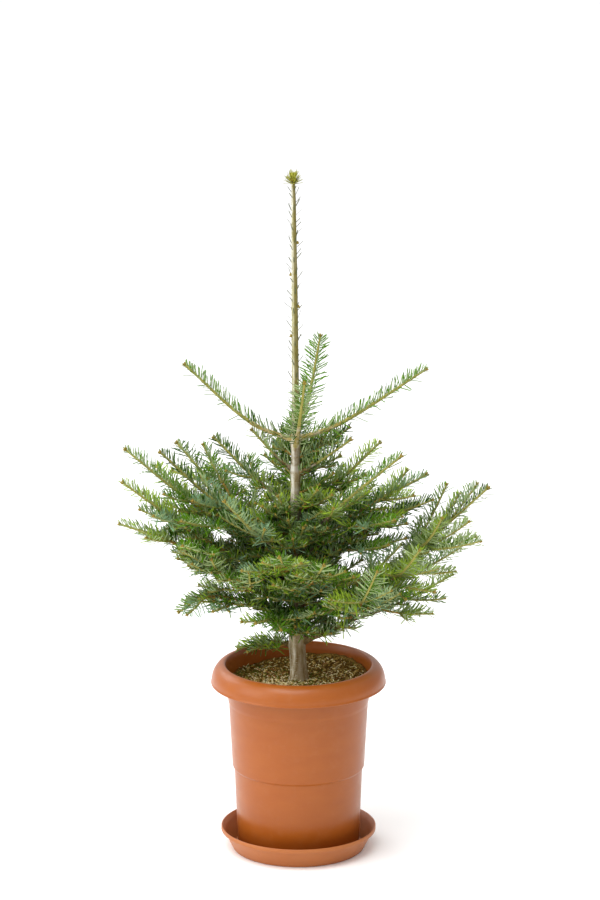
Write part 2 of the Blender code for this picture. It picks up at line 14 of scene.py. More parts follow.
import bmesh
import bpy
import numpy as np
from bmesh.types import BMesh, BMVert
from bpy.types import Material, Mesh, Node, NodeSocket, Object, World
from mathutils import Matrix, Vector, noise

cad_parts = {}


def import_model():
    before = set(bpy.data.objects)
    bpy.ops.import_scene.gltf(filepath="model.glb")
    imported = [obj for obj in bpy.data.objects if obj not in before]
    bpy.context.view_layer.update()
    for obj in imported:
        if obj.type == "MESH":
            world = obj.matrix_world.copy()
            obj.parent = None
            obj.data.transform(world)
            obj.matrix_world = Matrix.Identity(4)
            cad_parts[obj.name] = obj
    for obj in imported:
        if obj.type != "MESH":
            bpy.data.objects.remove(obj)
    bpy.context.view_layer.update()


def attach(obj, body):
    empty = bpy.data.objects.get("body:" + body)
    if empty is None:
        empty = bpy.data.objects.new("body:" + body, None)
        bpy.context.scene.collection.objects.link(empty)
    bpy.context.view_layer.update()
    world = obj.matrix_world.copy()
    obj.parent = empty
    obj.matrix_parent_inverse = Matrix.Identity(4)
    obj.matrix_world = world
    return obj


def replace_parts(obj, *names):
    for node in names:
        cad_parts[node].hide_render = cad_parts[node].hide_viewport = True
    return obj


Pair = tuple[float, float]
Triple = tuple[float, float, float]

LOG = logging.getLogger("potted_fir")
UP = Vector((0.0, 0.0, 1.0))
BODY = "root"
MM = 0.001
# The angle between one needle and the next around a shoot, in radians.
GOLDEN_TURN = 2.39996
# Points nearer than this are welded.
WELD = 0.00001


# Colours and materials


def linear(code: str) -> tuple[float, float, float, float]:
    """Turn an sRGB hex colour into linear values.

    Args:
        code: The colour as six hex digits after a hash.

    Returns:
        Linear red, green, blue and an alpha of one.
    """
    parts = [int(code[k : k + 2], 16) / 255 for k in (1, 3, 5)]
    red, green, blue = (
        part / 12.92 if part <= 0.04045 else ((part + 0.055) / 1.055) ** 2.4 for part in parts
    )
    return red, green, blue, 1.0


def add_node(
    material: Material | World, kind: str, settings: dict | None = None, **links: NodeSocket
) -> Node:
    """Add a node to a material or the world, with its settings and its input links.

    Args:
        material: The material or world to add it to.
        kind: The node's type name, without the ShaderNode prefix.
        settings: Attribute values, and input values under the input's name or number.
        links: Output sockets to link in, under the input's name with _ for a space.

    Returns:
        The new node.
    """
    node = material.node_tree.nodes.new("ShaderNode" + kind)
    for name, value in (settings or {}).items():
        if isinstance(name, int) or name in node.inputs:
            node.inputs[name].default_value = value
        else:
            setattr(node, name, value)
    for name, socket in links.items():
        key = int(name[1:]) if name[1:].isdigit() else name.replace("_", " ")
        material.node_tree.links.new(socket, node.inputs[key])
    return node


def colour_ramp(material: Material, factor: NodeSocket, stops: Sequence[tuple[float, str]]) -> NodeSocket:
    """Add a colour ramp.

    Args:
        material: The material to add it to.
        factor: The socket that drives the ramp.
        stops: Pairs of a position from 0 to 1 and a hex colour.

    Returns:
        The ramp's colour output.
    """
    node = add_node(material, "ValToRGB", Fac=factor)
    ramp = node.color_ramp
    while len(ramp.elements) < len(stops):
        ramp.elements.new(0.5)
    for element, (place, code) in zip(ramp.elements, stops):
        element.position = place
        element.color = linear(code)
    return node.outputs["Color"]


def new_material(name: str, roughness: float, gloss: float) -> tuple[Material, Node]:
    """Start a material.

    Args:
        name: The material's name.
        roughness: Its roughness.
        gloss: Its specular level.

    Returns:
        The material and its Principled shader.
    """
    material = bpy.data.materials.new(name)
    material.use_nodes = True
    shader = material.node_tree.nodes["Principled BSDF"]
    shader.inputs["Roughness"].default_value = roughness
    shader.inputs["Specular IOR Level"].default_value = gloss
    return material, shader


def noise_field(
    material: Material, size_mm: float, detail: float, roughness: float = 0.5, stretch: Triple = (1, 1, 1)
) -> NodeSocket:
    """Add a noise pattern on the object's coordinates.

    Args:
        material: The material to add it to.
        size_mm: The size of its largest lumps.
        detail: The number of its finer layers.
        roughness: The strength of each layer beside the one before.
        stretch: The factors that the coordinates are scaled by first.

    Returns:
        The pattern's value.
    """
    place = add_node(material, "TexCoord").outputs["Object"]
    place = add_node(material, "Mapping", {"Scale": stretch}, Vector=place).outputs[0]
    settings = {"Scale": 1 / (size_mm * MM), "Detail": detail, "Roughness": roughness}
    return add_node(material, "TexNoise", settings, Vector=place).outputs["Fac"]


def remapped(material: Material | World, value: NodeSocket, before: Pair, after: Pair) -> NodeSocket:
    """Map a value from one range to another and hold it at the ends."""
    settings = {"From Min": before[0], "From Max": before[1], "To Min": after[0], "To Max": after[1]}
    return add_node(material, "MapRange", settings, Value=value).outputs[0]


def combined(
    material: Material | World, operation: str, first: NodeSocket, second: NodeSocket
) -> NodeSocket:
    """Combine two values by the sum that operation names."""
    return add_node(material, "Math", {"operation": operation}, _0=first, _1=second).outputs[0]


def covered(material: Material, share: NodeSocket, base: NodeSocket, code: str) -> NodeSocket:
    """Lay a plain colour over another, as far as share says."""
    settings = {"data_type": "RGBA", 7: linear(code)}
    return add_node(material, "Mix", settings, _0=share, _6=base).outputs[2]


def link_surface(
    material: Material, shader: Node, colour: NodeSocket, height: NodeSocket, bump: Pair
) -> None:
    """Link a colour and a bump into a material's shader.

    Args:
        material: The material.
        shader: Its shader.
        colour: The colour.
        height: The height that the bump follows.
        bump: The bump's strength, and its depth in millimetres.
    """
    settings = {"Strength": bump[0], "Distance": bump[1] * MM}
    normal = add_node(material, "Bump", settings, Height=height).outputs[0]
    material.node_tree.links.new(colour, shader.inputs["Base Color"])
    material.node_tree.links.new(normal, shader.inputs["Normal"])


@dataclass(frozen=True)
class LeafFinish:
    """Living needles: green tissue under a thin wax, which gives a soft and weak gloss.

    The colour is plain, because it is dealt out by spray.
    """

    name: str
    colour: str
    roughness: float = 0.36
    gloss: float = 0.04

    def material(self) -> Material:
        """Make the needles' or the wood's material.

        Returns:
            The material.
        """
        material, shader = new_material(self.name, self.roughness, self.gloss)
        shader.inputs["Base Color"].default_value = linear(self.colour)
        return material


@dataclass(frozen=True)
class TwigFinish(LeafFinish):
    """Young fir wood and dry scraps: a smooth skin with no gloss to speak of."""

    roughness: float = 0.62
    gloss: float = 0.06


@dataclass(frozen=True)
class BarkFinish:
    """Young fir bark: grey skin over olive, with pale level lenticels and lichen specks.

    Lenticels are about 4 mm wide and 1 mm high. The grain under them runs up the stem. silver is
    how strongly pale blotches of thin skin cover it, and ring_at the height in metres of a pale
    ring of old bud scales, which fades between ring_edges from there. bump is the relief's strength
    and its depth in millimetres. A painted shade, an olive-brown tint laid over the bark, darkens
    the side away from the light.
    """

    name: str
    dark: str
    mid: str
    pale: str
    grain_mm: float = 6.0
    lenticel_mm: float = 4.0
    blotch_mm: float = 16.0
    bump: Pair = (0.35, 0.6)
    silver: float = 0.3
    silver_skin: str = "#dedbd2"
    # The skin turns silver over these heights, from the middle of the crown up.
    silver_from: Pair = (0.48, 0.62)
    ring_at: float = 0.0
    ring_edges: Pair = (0.008, 0.003)
    # Painted shade: the tint laid on the side away from the light, and how strongly it is laid.
    shaded_tint: str = "#5a5226"
    shaded_tint_share: float = 0.6
    roughness: float = 0.82
    gloss: float = 0.2

    def material(self) -> Material:
        """Make the bark's material.

        Returns:
            The material.
        """
        material, shader = new_material(self.name, self.roughness, self.gloss)
        grain = noise_field(material, self.grain_mm, 5.0, 0.6, (1.0, 1.0, 0.18))
        bands = noise_field(material, self.lenticel_mm, 2.0, 0.5, (0.5, 0.5, 2.6))
        specks = remapped(material, bands, (0.60, 0.72), (0.0, 0.75))
        colour = colour_ramp(material, grain, ((0.30, self.dark), (0.52, self.mid), (0.75, self.pale)))
        colour = covered(material, specks, colour, self.pale)
        colour = covered(material, self.silvering(material), colour, self.silver_skin)
        # Painted shade: the side that faces away from the light is tinted olive-brown.
        shaded = add_node(material, "Attribute", {"attribute_name": "shaded"}).outputs["Fac"]
        film = remapped(material, shaded, (0.36, 0.52), (0.0, self.shaded_tint_share))
        colour = covered(material, film, colour, self.shaded_tint)
        link_surface(material, shader, colour, combined(material, "ADD", grain, specks), self.bump)
        return material

    def silvering(self, material: Material) -> NodeSocket:
        """Work out where the skin is silver.

        Args:
            material: The bark's material.

        Returns:
            A socket that is 1 where it is all silver and 0 where there is none.
        """
        place = add_node(material, "TexCoord").outputs["Object"]
        height = add_node(material, "SeparateXYZ", Vector=place).outputs["Z"]
        cover = remapped(material, height, self.silver_from, (0.0, self.silver))
        patches = noise_field(material, self.blotch_mm, 4.0, 0.65)
        patchy = remapped(material, patches, (0.48, 0.60), (0.0, 1.0))
        blotches = combined(material, "MULTIPLY", patchy, cover)
        above = add_node(material, "Math", {"operation": "SUBTRACT", 1: self.ring_at}, _0=height)
        away = add_node(material, "Math", {"operation": "ABSOLUTE"}, _0=above.outputs[0])
        ring = remapped(material, away.outputs[0], self.ring_edges, (0.0, 0.85))
        return combined(material, "MAXIMUM", blotches, ring)


@dataclass(frozen=True)
class MouldedFinish:
    """Injection-moulded polypropylene, dyed through in a terracotta colour.

    The mould's fine texture spreads the gloss. Faint flow marks go round the wall, and dust lies
    as a paler film in patches.
    """

    name: str
    colour: str
    shade: str
    dust: str
    roughness: float = 0.32
    gloss: float = 0.38
    flow_mm: float = 55.0
    film_mm: float = 18.0
    # The mould's texture is 0.3 mm across. It is drawn coarser so that it shows.
    texture_mm: float = 1.2

    def material(self) -> Material:
        """Make the plastic's material.

        Returns:
            The material.
        """
        material, shader = new_material(self.name, self.roughness, self.gloss)
        flow = noise_field(material, self.flow_mm, 4.0, 0.55, (1.0, 1.0, 3.0))
        film = noise_field(material, self.film_mm, 8.0, 0.7)
        texture = noise_field(material, self.texture_mm, 2.0)
        body = colour_ramp(material, flow, ((0.32, self.shade), (0.68, self.colour)))
        dusty = remapped(material, film, (0.50, 0.82), (0.0, 0.08))
        link_surface(material, shader, covered(material, dusty, body, self.dust), texture, (0.10, 0.15))
        dull = remapped(material, film, (0.35, 0.75), (self.roughness - 0.04, self.roughness + 0.10))
        material.node_tree.links.new(dull, shader.inputs["Roughness"])
        return material


@dataclass(frozen=True)
class EarthFinish:
    """Damp potting soil: dark crumbs of peat and bark, rough all over."""

    name: str
    dark: str
    mid: str
    pale: str
    grain_mm: float = 3.0
    roughness: float = 0.95
    gloss: float = 0.15

    def material(self) -> Material:
        """Make the soil's material.

        Returns:
            The material.
        """
        material, shader = new_material(self.name, self.roughness, self.gloss)
        crumbs = noise_field(material, self.grain_mm, 6.0, 0.7)
        stops = ((0.30, self.dark), (0.55, self.mid), (0.80, self.pale))
        link_surface(material, shader, colour_ramp(material, crumbs, stops), crumbs, (0.8, 1.0))
        return material


Finish = LeafFinish | BarkFinish | MouldedFinish | EarthFinish


class Shade(Enum):
    """The greens that are dealt out to the sprays, each with its needle's upper side."""

    FRESH = LeafFinish("needles_fresh", "#93ae34")
    MID = LeafFinish("needles_mid", "#578315")
    DEEP = LeafFinish("needles_deep", "#2f5607")
    BLUE = LeafFinish("needles_blue", "#80a17c")


class Wood(Enum):
    """The ages of wood: this year's, last year's, and older."""

    NEW = TwigFinish("wood_new", "#9d964f")
    SECOND = TwigFinish("wood_second_year", "#a5823f")
    OLD = TwigFinish("wood_old", "#6f5a34")


UNDERSIDE = LeafFinish("needle_undersides", "#9fb27c", roughness=0.6)
BUD = TwigFinish("bud_scales", "#8c7a38", roughness=0.45)
YOUNG = LeafFinish("needles_young", "#a5a542")
SCALE_NEEDLE = LeafFinish("needles_leader", "#5d6348")
# The trunk's and the leader's bark get a painted shade, darker on the side away from the light.
TRUNK_BARK = BarkFinish(
    "trunk_bark", "#6a4e22", "#b0a384", "#e6e0d0", silver=0.6, ring_at=0.680, shaded_tint="#6b5226"
)
LEADER_BARK = BarkFinish(
    "leader_bark", "#6a6530", "#b0ab84", "#eceadb", lenticel_mm=2.5, shaded_tint="#6c6124", shaded_tint_share=0.85
)
LIMB_BARK = BarkFinish("limb_bark", "#4a3a1e", "#746038", "#9c8d66", lenticel_mm=2.5)
YOUNG_BARK = BarkFinish("limb_bark_young", "#80702f", "#a08d4c", "#bfb380", lenticel_mm=2.5)
POT_PLASTIC = MouldedFinish("terracotta_polypropylene", "#a05519", "#9b5016", "#b98c70")
SAUCER_PLASTIC = MouldedFinish("saucer_polypropylene", "#ab6531", "#a65f2c", "#c49b80", roughness=0.42)
SOIL = EarthFinish("potting_soil", "#46310e", "#82652c", "#b89c66")


# Meshes


def finished(name: str, mesh: Mesh, finish: Finish, smooth: bool = True) -> Object:
    """Put a mesh into the scene as a finished piece that rides on the plant.

    Args:
        name: The piece's name.
        mesh: Its mesh, in the row frame.
        finish: Its finish.
        smooth: Whether its faces are shaded smooth.

    Returns:
        The piece.
    """
    mesh.name = name
    mesh.materials.clear()
    mesh.materials.append(finish.material())
    mesh.polygons.foreach_set("use_smooth", [smooth] * len(mesh.polygons))
    piece = bpy.data.objects.new(name, mesh)
    bpy.context.scene.collection.objects.link(piece)
    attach(piece, BODY)
    LOG.info("%s: %d faces", name, len(mesh.polygons))
    return piece


def mesh_from(work: BMesh) -> Mesh:
    """Turn a bmesh into a mesh and free it.

    Args:
        work: The bmesh.

    Returns:
        The mesh.
    """
    mesh = bpy.data.meshes.new("mesh")
    work.to_mesh(mesh)
    work.free()
    return mesh


class Copies:
    """Copies of one small pattern mesh, kept as arrays and joined into one mesh."""

    def __init__(self, pattern: BMesh) -> None:
        """Read the pattern and free it.

        Args:
            pattern: The mesh that is repeated.
        """
        pattern.verts.index_update()
        self.points = np.array([vertex.co for vertex in pattern.verts])
        self.corners = np.array([vertex.index for face in pattern.faces for vertex in face.verts])
        self.sizes = np.array([len(face.verts) for face in pattern.faces])
        self.frames: list[np.ndarray] = []
        pattern.free()

    def place(self, roots: np.ndarray, axes: np.ndarray) -> None:
        """Add copies at roots, with one 3 by 3 array each whose rows are its scaled axes."""
        self.frames.append(np.concatenate([roots[:, None, :], axes], axis=1))

    def place_one(self, root: Vector, axes: Sequence[Vector]) -> None:
        """Add one copy at a root, with its scaled x, y and z axes."""
        self.place(np.array([root]), np.array([axes]))

    def joined(self) -> Mesh:
        """Join the copies.

        Returns:
            One mesh with every copy.
        """
        frames = np.concatenate(self.frames)
        count = len(frames)
        points = frames[:, :1, :] + np.einsum("nk,ckd->cnd", self.points, frames[:, 1:, :])
        shift = np.arange(count)[:, None] * len(self.points)
        corners = (self.corners[None, :] + shift).ravel()
        starts = np.concatenate([[0], np.cumsum(np.tile(self.sizes, count))[:-1]])
        mesh = bpy.data.meshes.new("copies")
        mesh.vertices.add(count * len(self.points))
        mesh.vertices.foreach_set("co", points.astype(np.float32).ravel())
        mesh.loops.add(len(corners))
        mesh.loops.foreach_set("vertex_index", corners.astype(np.int32))
        mesh.polygons.add(len(starts))
        mesh.polygons.foreach_set("loop_start", starts.astype(np.int32))
        mesh.update(calc_edges=True)
        return mesh


@dataclass(frozen=True)
class NeedlePattern:
    """One fir needle, a unit long and a unit wide: narrow foot, even blade and blunt tip.

    stations are its distances along, widths its widths there, and groove the depth of the
    channel along its upper side. bend lifts its tip.
    """

    stations: tuple[float, ...] = (0.0, 0.14, 0.86, 1.0)
    widths: tuple[float, ...] = (0.40, 0.95, 1.0, 0.45)
    groove: float = 0.008
    thickness: float = 0.018
    bend: float = 0.15

    def shaped(self, lanes: int, drop: float, groove: float) -> BMesh:
        """Shape a flat grid into one side of the needle.

        Args:
            lanes: The number of faces across.
            drop: How far below the upper edge this side lies.
            groove: How deep its middle line is.

        Returns:
            The pattern's bmesh.
        """
        work = bmesh.new()
        stretches = len(self.stations) - 1
        bmesh.ops.create_grid(work, x_segments=stretches, y_segments=lanes, size=0.5)
        for vertex in work.verts:
            station = round((vertex.co.x + 0.5) * stretches)
            along = self.stations[station]
            middle = abs(vertex.co.y) < 0.1
            vertex.co.x = along
            vertex.co.y *= self.widths[station]
            vertex.co.z = self.bend * along * along - drop - (groove if middle else 0.0)
        return work

    def upper(self) -> BMesh:
        """The green upper side, with its groove."""
        return self.shaped(2, 0.0, self.groove)

    def under(self) -> BMesh:
        """Shape the silver underside.

        Returns:
            The pattern's bmesh.
        """
        work = self.shaped(1, self.thickness, 0.0)
        bmesh.ops.reverse_faces(work, faces=work.faces)
        return work


def swung(first: np.ndarray, second: np.ndarray, angles: np.ndarray) -> np.ndarray:
    """Swing each row of directions towards the other's row by its angle in radians."""
    return first * np.cos(angles)[:, None] + second * np.sin(angles)[:, None]


def unit_rows(rows: np.ndarray) -> np.ndarray:
    """Scale each row to a length of one."""
    return rows / np.linalg.norm(rows, axis=1, keepdims=True)


def bud_pattern() -> BMesh:
    """One bud, a unit long, egg-shaped and pointed along x.

    Returns:
        The pattern's bmesh.
    """
    work = bmesh.new()
    bmesh.ops.create_uvsphere(work, u_segments=6, v_segments=5, radius=0.5)
    bmesh.ops.rotate(work, verts=work.verts, cent=(0, 0, 0), matrix=Matrix.Rotation(math.pi / 2, 3, "Y"))
    for vertex in work.verts:
        vertex.co.x += 0.5
        pinch = 1.0 - 0.45 * max(0.0, vertex.co.x - 0.45)
        vertex.co.y *= pinch
        vertex.co.z *= pinch
    return work


# Growth


@dataclass(frozen=True)
class Bough:
    """A main bough: where it leaves the trunk, and the growth of each of its years.

    foot is its height on the trunk and azimuth its heading in degrees. growth holds each year's
    length, rises how steeply each climbs, and share the length of a side shoot beside it. limb
    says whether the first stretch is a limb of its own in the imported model. roll turns the fan of
    side shoots about the bough in degrees, droop lowers them, and crest is the share of a third
    shoot on the upper side of the last two forks.
    """

    name: str
    foot: float
    azimuth: float
    growth: tuple[float, ...]
    rises: tuple[float, ...]
    share: float = 0.6
    limb: bool = True
    roll: float = 0.0
    droop: float = 0.1
    crest: float = 0.0

    @property
    def tier(self) -> str:
        """The storey of the crown that the bough belongs to."""
        return self.name.split("_")[0]


BOUGHS = (
    Bough("top_left", 0.727, 178, (0.085, 0.146), (23, 42), 0.0),
    Bough("top_right", 0.729, 1, (0.084, 0.168), (21, 33), 0.0),
    Bough("top_front", 0.716, -84, (0.080, 0.125), (42, 48), 0.0),
    Bough("top_back", 0.733, 73, (0.087, 0.118), (34, 53), 0.0),
    Bough("spur_right", 0.667, -22, (0.047, 0.075), (33, 37), 0.0, False),
    Bough("upper_left", 0.560, 177, (0.126, 0.148), (21, 41), 0.55),
    Bough("upper_back_left", 0.606, 148, (0.092, 0.102), (28, 36), 0.45),
    Bough("upper_back", 0.600, 92, (0.090, 0.120), (25, 38), 0.5),
    Bough("upper_back_right", 0.606, 33, (0.084, 0.111), (22, 33), 0.5),
    Bough("upper_front_right", 0.517, -28, (0.107, 0.182), (53, 42), 0.45),
    Bough("upper_front_left", 0.522, 222, (0.094, 0.110), (32, 44)),
    Bough("middle_left", 0.484, 183, (0.143, 0.085, 0.142), (42, 31, 40)),
    Bough("middle_left_low", 0.470, 190, (0.142, 0.098, 0.116), (29, 35, 38), 0.7),
    Bough("middle_back_left", 0.508, 132, (0.127, 0.115, 0.104), (22, 28, 30)),
    Bough("middle_back_right", 0.486, 68, (0.107, 0.097, 0.087), (20, 26, 28)),
    Bough("middle_right", 0.500, 6, (0.105, 0.085, 0.088), (46, 31, 28), 0.78),
    Bough("middle_right_low", 0.466, 4, (0.096, 0.078, 0.081), (45, 30, 26), 0.78),
    Bough("middle_front", 0.495, -97, (0.085, 0.080, 0.070), (18, 22, 27), 0.6, False),
    Bough("lower_left", 0.456, 186, (0.120, 0.119, 0.091), (17, 33, 21), 0.55, roll=8),
    Bough("lower_left_front", 0.446, 208, (0.091, 0.076, 0.072), (18, 34, 34), roll=25),
    Bough("lower_back_left", 0.446, 148, (0.110, 0.095, 0.090), (15, 26, 30), roll=12),
    Bough("lower_back_right", 0.436, 92, (0.110, 0.095, 0.090), (15, 26, 30)),
    Bough("lower_front", 0.462, -76, (0.060, 0.080, 0.075), (20, 27, 33), 0.6, False),
    Bough("lower_front_right", 0.424, -46, (0.077, 0.090), (43, 25), 0.7, False),
    Bough("low_left", 0.420, 188, (0.102, 0.061, 0.048), (17, 6, -29)),
    Bough("low_front_left", 0.410, 238, (0.069, 0.060), (17, 6), 0.8, False),
    Bough("low_back_left", 0.360, 168, (0.048, 0.057), (9, -16), 0.6, False),
    Bough("low_back_right", 0.385, 42, (0.100, 0.090, 0.080), (16, 28, 30)),
    Bough(
        "low_right", 0.368, -5, (0.095, 0.100, 0.081, 0.159), (25, 46, 48, 44), 0.70,
        roll=-26, droop=0.24, crest=0.74,
    ),
    Bough("low_right_front", 0.400, -22, (0.111, 0.085, 0.076), (32, 20, 0), 0.45, roll=10),
    Bough("spur_left", 0.672, 170, (0.047, 0.055), (40, 46), 0.0, False),
)


@dataclass(frozen=True)
class Sprig:
    """One more shoot that the photo shows, from the node where a year of a bough begins."""

    bough: str
    year: int
    azimuth: float
    rise: float
    growth: tuple[float, ...]


SPRIGS = (
    Sprig("low_right", 3, -20.0, 33.0, (0.104,)),
    Sprig("low_right", 3, 0.0, 50.0, (0.150,)),
    Sprig("low_right", 3, -25.0, 14.0, (0.114,)),
    Sprig("middle_back_left", 1, 140.0, 49.0, (0.082, 0.080)),
    Sprig("middle_right", 2, 30.0, 40.0, (0.068,)),
    Sprig("middle_right", 1, -10.0, 18.0, (0.085, 0.084)),
    Sprig("middle_right_low", 1, -15.0, 13.0, (0.064, 0.061)),
    Sprig("middle_left_low", 2, 200.0, 22.0, (0.070,)),
)


def heading(azimuth: float, rise: float) -> Vector:
    """Find a heading.

    Args:
        azimuth: Degrees anticlockwise from +X, seen from above.
        rise: Degrees above the horizon.

    Returns:
        The unit vector that way.
    """
    flat = math.cos(math.radians(rise))
    turn = math.radians(azimuth)
    return Vector((math.cos(turn) * flat, math.sin(turn) * flat, math.sin(math.radians(rise))))


def upper_side(direction: Vector, roll: float = 0.0) -> Vector:
    """Find the upper side of a shoot.

    Args:
        direction: The shoot's direction.
        roll: How far its fan is turned about it, in degrees.

    Returns:
        The unit vector square to it that points most nearly up, turned by the roll.
    """
    across = direction.cross(UP).normalized()
    up = across.cross(direction).normalized()
    return Matrix.Rotation(math.radians(roll), 3, direction) @ up


def smooth_path(nodes: Sequence[Vector], step: float) -> tuple[np.ndarray, np.ndarray]:
    """Draw a smooth path through nodes.

    Args:
        nodes: The points that it passes.
        step: The distance between its own points.

    Returns:
        The path's points, and for each the number of the stretch that it lies in.
    """
    ends = [nodes[0] * 2 - nodes[1], *nodes, nodes[-1] * 2 - nodes[-2]]
    points: list[Vector] = []
    stretch: list[int] = []
    for k in range(1, len(ends) - 2):
        before, start, stop, after = ends[k - 1 : k + 3]
        length = (stop - start).length
        leave = (stop - before).normalized() * length
        arrive = (after - start).normalized() * length
        count = max(2, round(length / step))
        for t in np.linspace(0.0, 1.0, count, endpoint=False):
            points.append(
                start * (2 * t**3 - 3 * t**2 + 1)
                + leave * (t**3 - 2 * t**2 + t)
                + stop * (3 * t**2 - 2 * t**3)
                + arrive * (t**3 - t**2)
            )
            stretch.append(k - 1)
    points.append(nodes[-1])
    stretch.append(len(nodes) - 2)
    return np.array([tuple(point) for point in points]), np.array(stretch)


@dataclass
class Shoot:
    """One year's growth of a bough or twig.

    points run along its centre line and radii go with them. age counts the years since it grew,
    order the forks that lead to it, and ends says whether it bears the end buds. It has no
    needles before bare_until, limb says whether it has bark like a limb's, and roll is its fan's.
    """

    points: np.ndarray
    radii: np.ndarray
    age: int
    order: int
    ends: bool
    bare_until: float = 0.0
    limb: bool = False
    roll: float = 0.0

    @property
    def travelled(self) -> np.ndarray:
        """The distance of each point along the shoot."""
        steps = np.linalg.norm(np.diff(self.points, axis=0), axis=1)
        return np.concatenate([[0.0], np.cumsum(steps)])

    @property
    def length(self) -> float:
        """The shoot's length."""
        return float(self.travelled[-1])

    def at(self, distances: np.ndarray) -> tuple[np.ndarray, np.ndarray, np.ndarray]:
        """Look up places along the shoot.

        Args:
            distances: How far along they are.

        Returns:
            Their points, the unit tangents and the radii there.
        """
        travelled = self.travelled
        points = np.stack([np.interp(distances, travelled, self.points[:, k]) for k in range(3)], axis=1)
        slopes = np.gradient(self.points, travelled, axis=0)
        tangents = np.stack([np.interp(distances, travelled, slopes[:, k]) for k in range(3)], axis=1)
        return points, unit_rows(tangents), np.interp(distances, travelled, self.radii)


@dataclass
class Trunk:
    """The trunk: its course as height, radius and lean, and its bark with real relief."""

    course: tuple[Triple, ...] = (
        (0.3023, 0.0190, 0.0010),
        (0.3080, 0.0165, 0.0010),
        (0.3200, 0.0147, 0.0005),
        (0.3900, 0.0130, -0.0040),
        (0.4600, 0.0108, -0.0045),
        (0.5170, 0.0095, -0.0050),
        (0.6400, 0.0081, -0.0050),
        (0.7200, 0.0074, -0.0050),
        (0.7350, 0.0066, -0.0044),
        (0.8870, 0.0060, -0.0058),
        (1.0000, 0.0052, -0.0066),
        (1.1450, 0.0038, -0.0080),
        (1.1750, 0.0032, -0.0088),
    )
    leader_from: float = 0.735
    ring_step: float = 0.0025
    collar_swell: float = 0.0016
    collar_reach: float = 0.013
    whorls: tuple[float, ...] = (0.728, 0.603, 0.505, 0.440)
    whorl_swell: float = 0.0012
    whorl_reach: float = 0.006
    fissure: float = 0.0003
    # The sizes of the bark's fissures and pits, across the trunk and up it.
    fissure_size: Pair = (0.006, 0.015)
    pit_size: Pair = (0.0022, 0.0012)
    # How much of the fissures and pits the leader shows.
    leader_share: float = 0.45
    # The side that the light comes from, in degrees; the bark's painted shade lies opposite it.
    sunny_side: float = 172.0
    # The pale ring of old bud scales on the trunk in the photo.
    scale_ring: float = 0.680
    scale_reach: float = 0.008
    scale_size: float = 0.0035
    scale_rise: float = 0.0006

    def at(self, height: float) -> tuple[Vector, float]:
        """Find the trunk's centre and radius at a height.

        Args:
            height: The height above the floor.

        Returns:
            The centre and the radius.
        """
        heights, radii, leans = zip(*self.course)
        lean = float(np.interp(height, heights, leans))
        return Vector((lean, 0.0, height)), float(np.interp(height, heights, radii))

    def relief(self, point: Vector) -> float:
        """Work out how far the bark stands out at a point of the plain trunk.

        Args:
            point: The point.

        Returns:
            The distance outwards.
        """
        rise = 0.0
        for bough in BOUGHS:
            centre, radius = self.at(bough.foot)
            collar = centre + heading(bough.azimuth, 10.0) * radius
            near = (point - collar).length / self.collar_reach
            rise += self.collar_swell * math.exp(-near * near * 2.0)
        for height in self.whorls:
            near = (point.z - height) / self.whorl_reach
            rise += self.whorl_swell * math.exp(-near * near)
        grain, pits = (
            noise.noise(Vector((point.x / size[0], point.y / size[0], point.z / size[1])))
            for size in (self.fissure_size, self.pit_size)
        )
        fade = 1.0 if point.z < self.leader_from else self.leader_share
        rise += fade * (self.fissure * grain + 0.25 * self.fissure * pits)
        if abs(point.z - self.scale_ring) < self.scale_reach:
            rise += self.scale_rise * max(0.0, noise.noise(point / self.scale_size))
        return rise

    def build(self) -> None:
        """Build the trunk below the leader, and the leader."""
        low, high = self.course[0][0], self.course[-1][0]
        for name, start, stop, finish, bevel in (
            ("trunk_bark", low, self.leader_from, TRUNK_BARK, 7),
            ("leader_bark", self.leader_from, high, LEADER_BARK, 5),
        ):
            heights = np.linspace(start, stop, round((stop - start) / self.ring_step) + 1)
            pairs = [self.at(height) for height in heights]
            tubes = Tubes(bevel)
            tubes.add(np.array([tuple(centre) for centre, _ in pairs]), np.array([r for _, r in pairs]))
            mesh = tubes.mesh()
            for vertex in mesh.vertices:
                centre, radius = self.at(vertex.co.z)
                outward = vertex.co - centre
                outward.z = 0.0
                if outward.length > 0.5 * radius:
                    vertex.co += outward.normalized() * self.relief(vertex.co)
            self.paint(mesh)
            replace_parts(finished(name, mesh, finish), "trunk")

    def paint(self, mesh: Mesh) -> None:
        """Mark how far each point of the bark faces away from the light, for the bark's painted shade.

        Args:
            mesh: The bark's mesh, which gets the attribute "shaded", from 0 to 1.
        """
        mesh.update()
        sun = heading(self.sunny_side, 0.0)
        shaded = [0.5 - 0.5 * vertex.normal.dot(sun) for vertex in mesh.vertices]
        mesh.attributes.new("shaded", "FLOAT", "POINT").data.foreach_set("value", shaded)


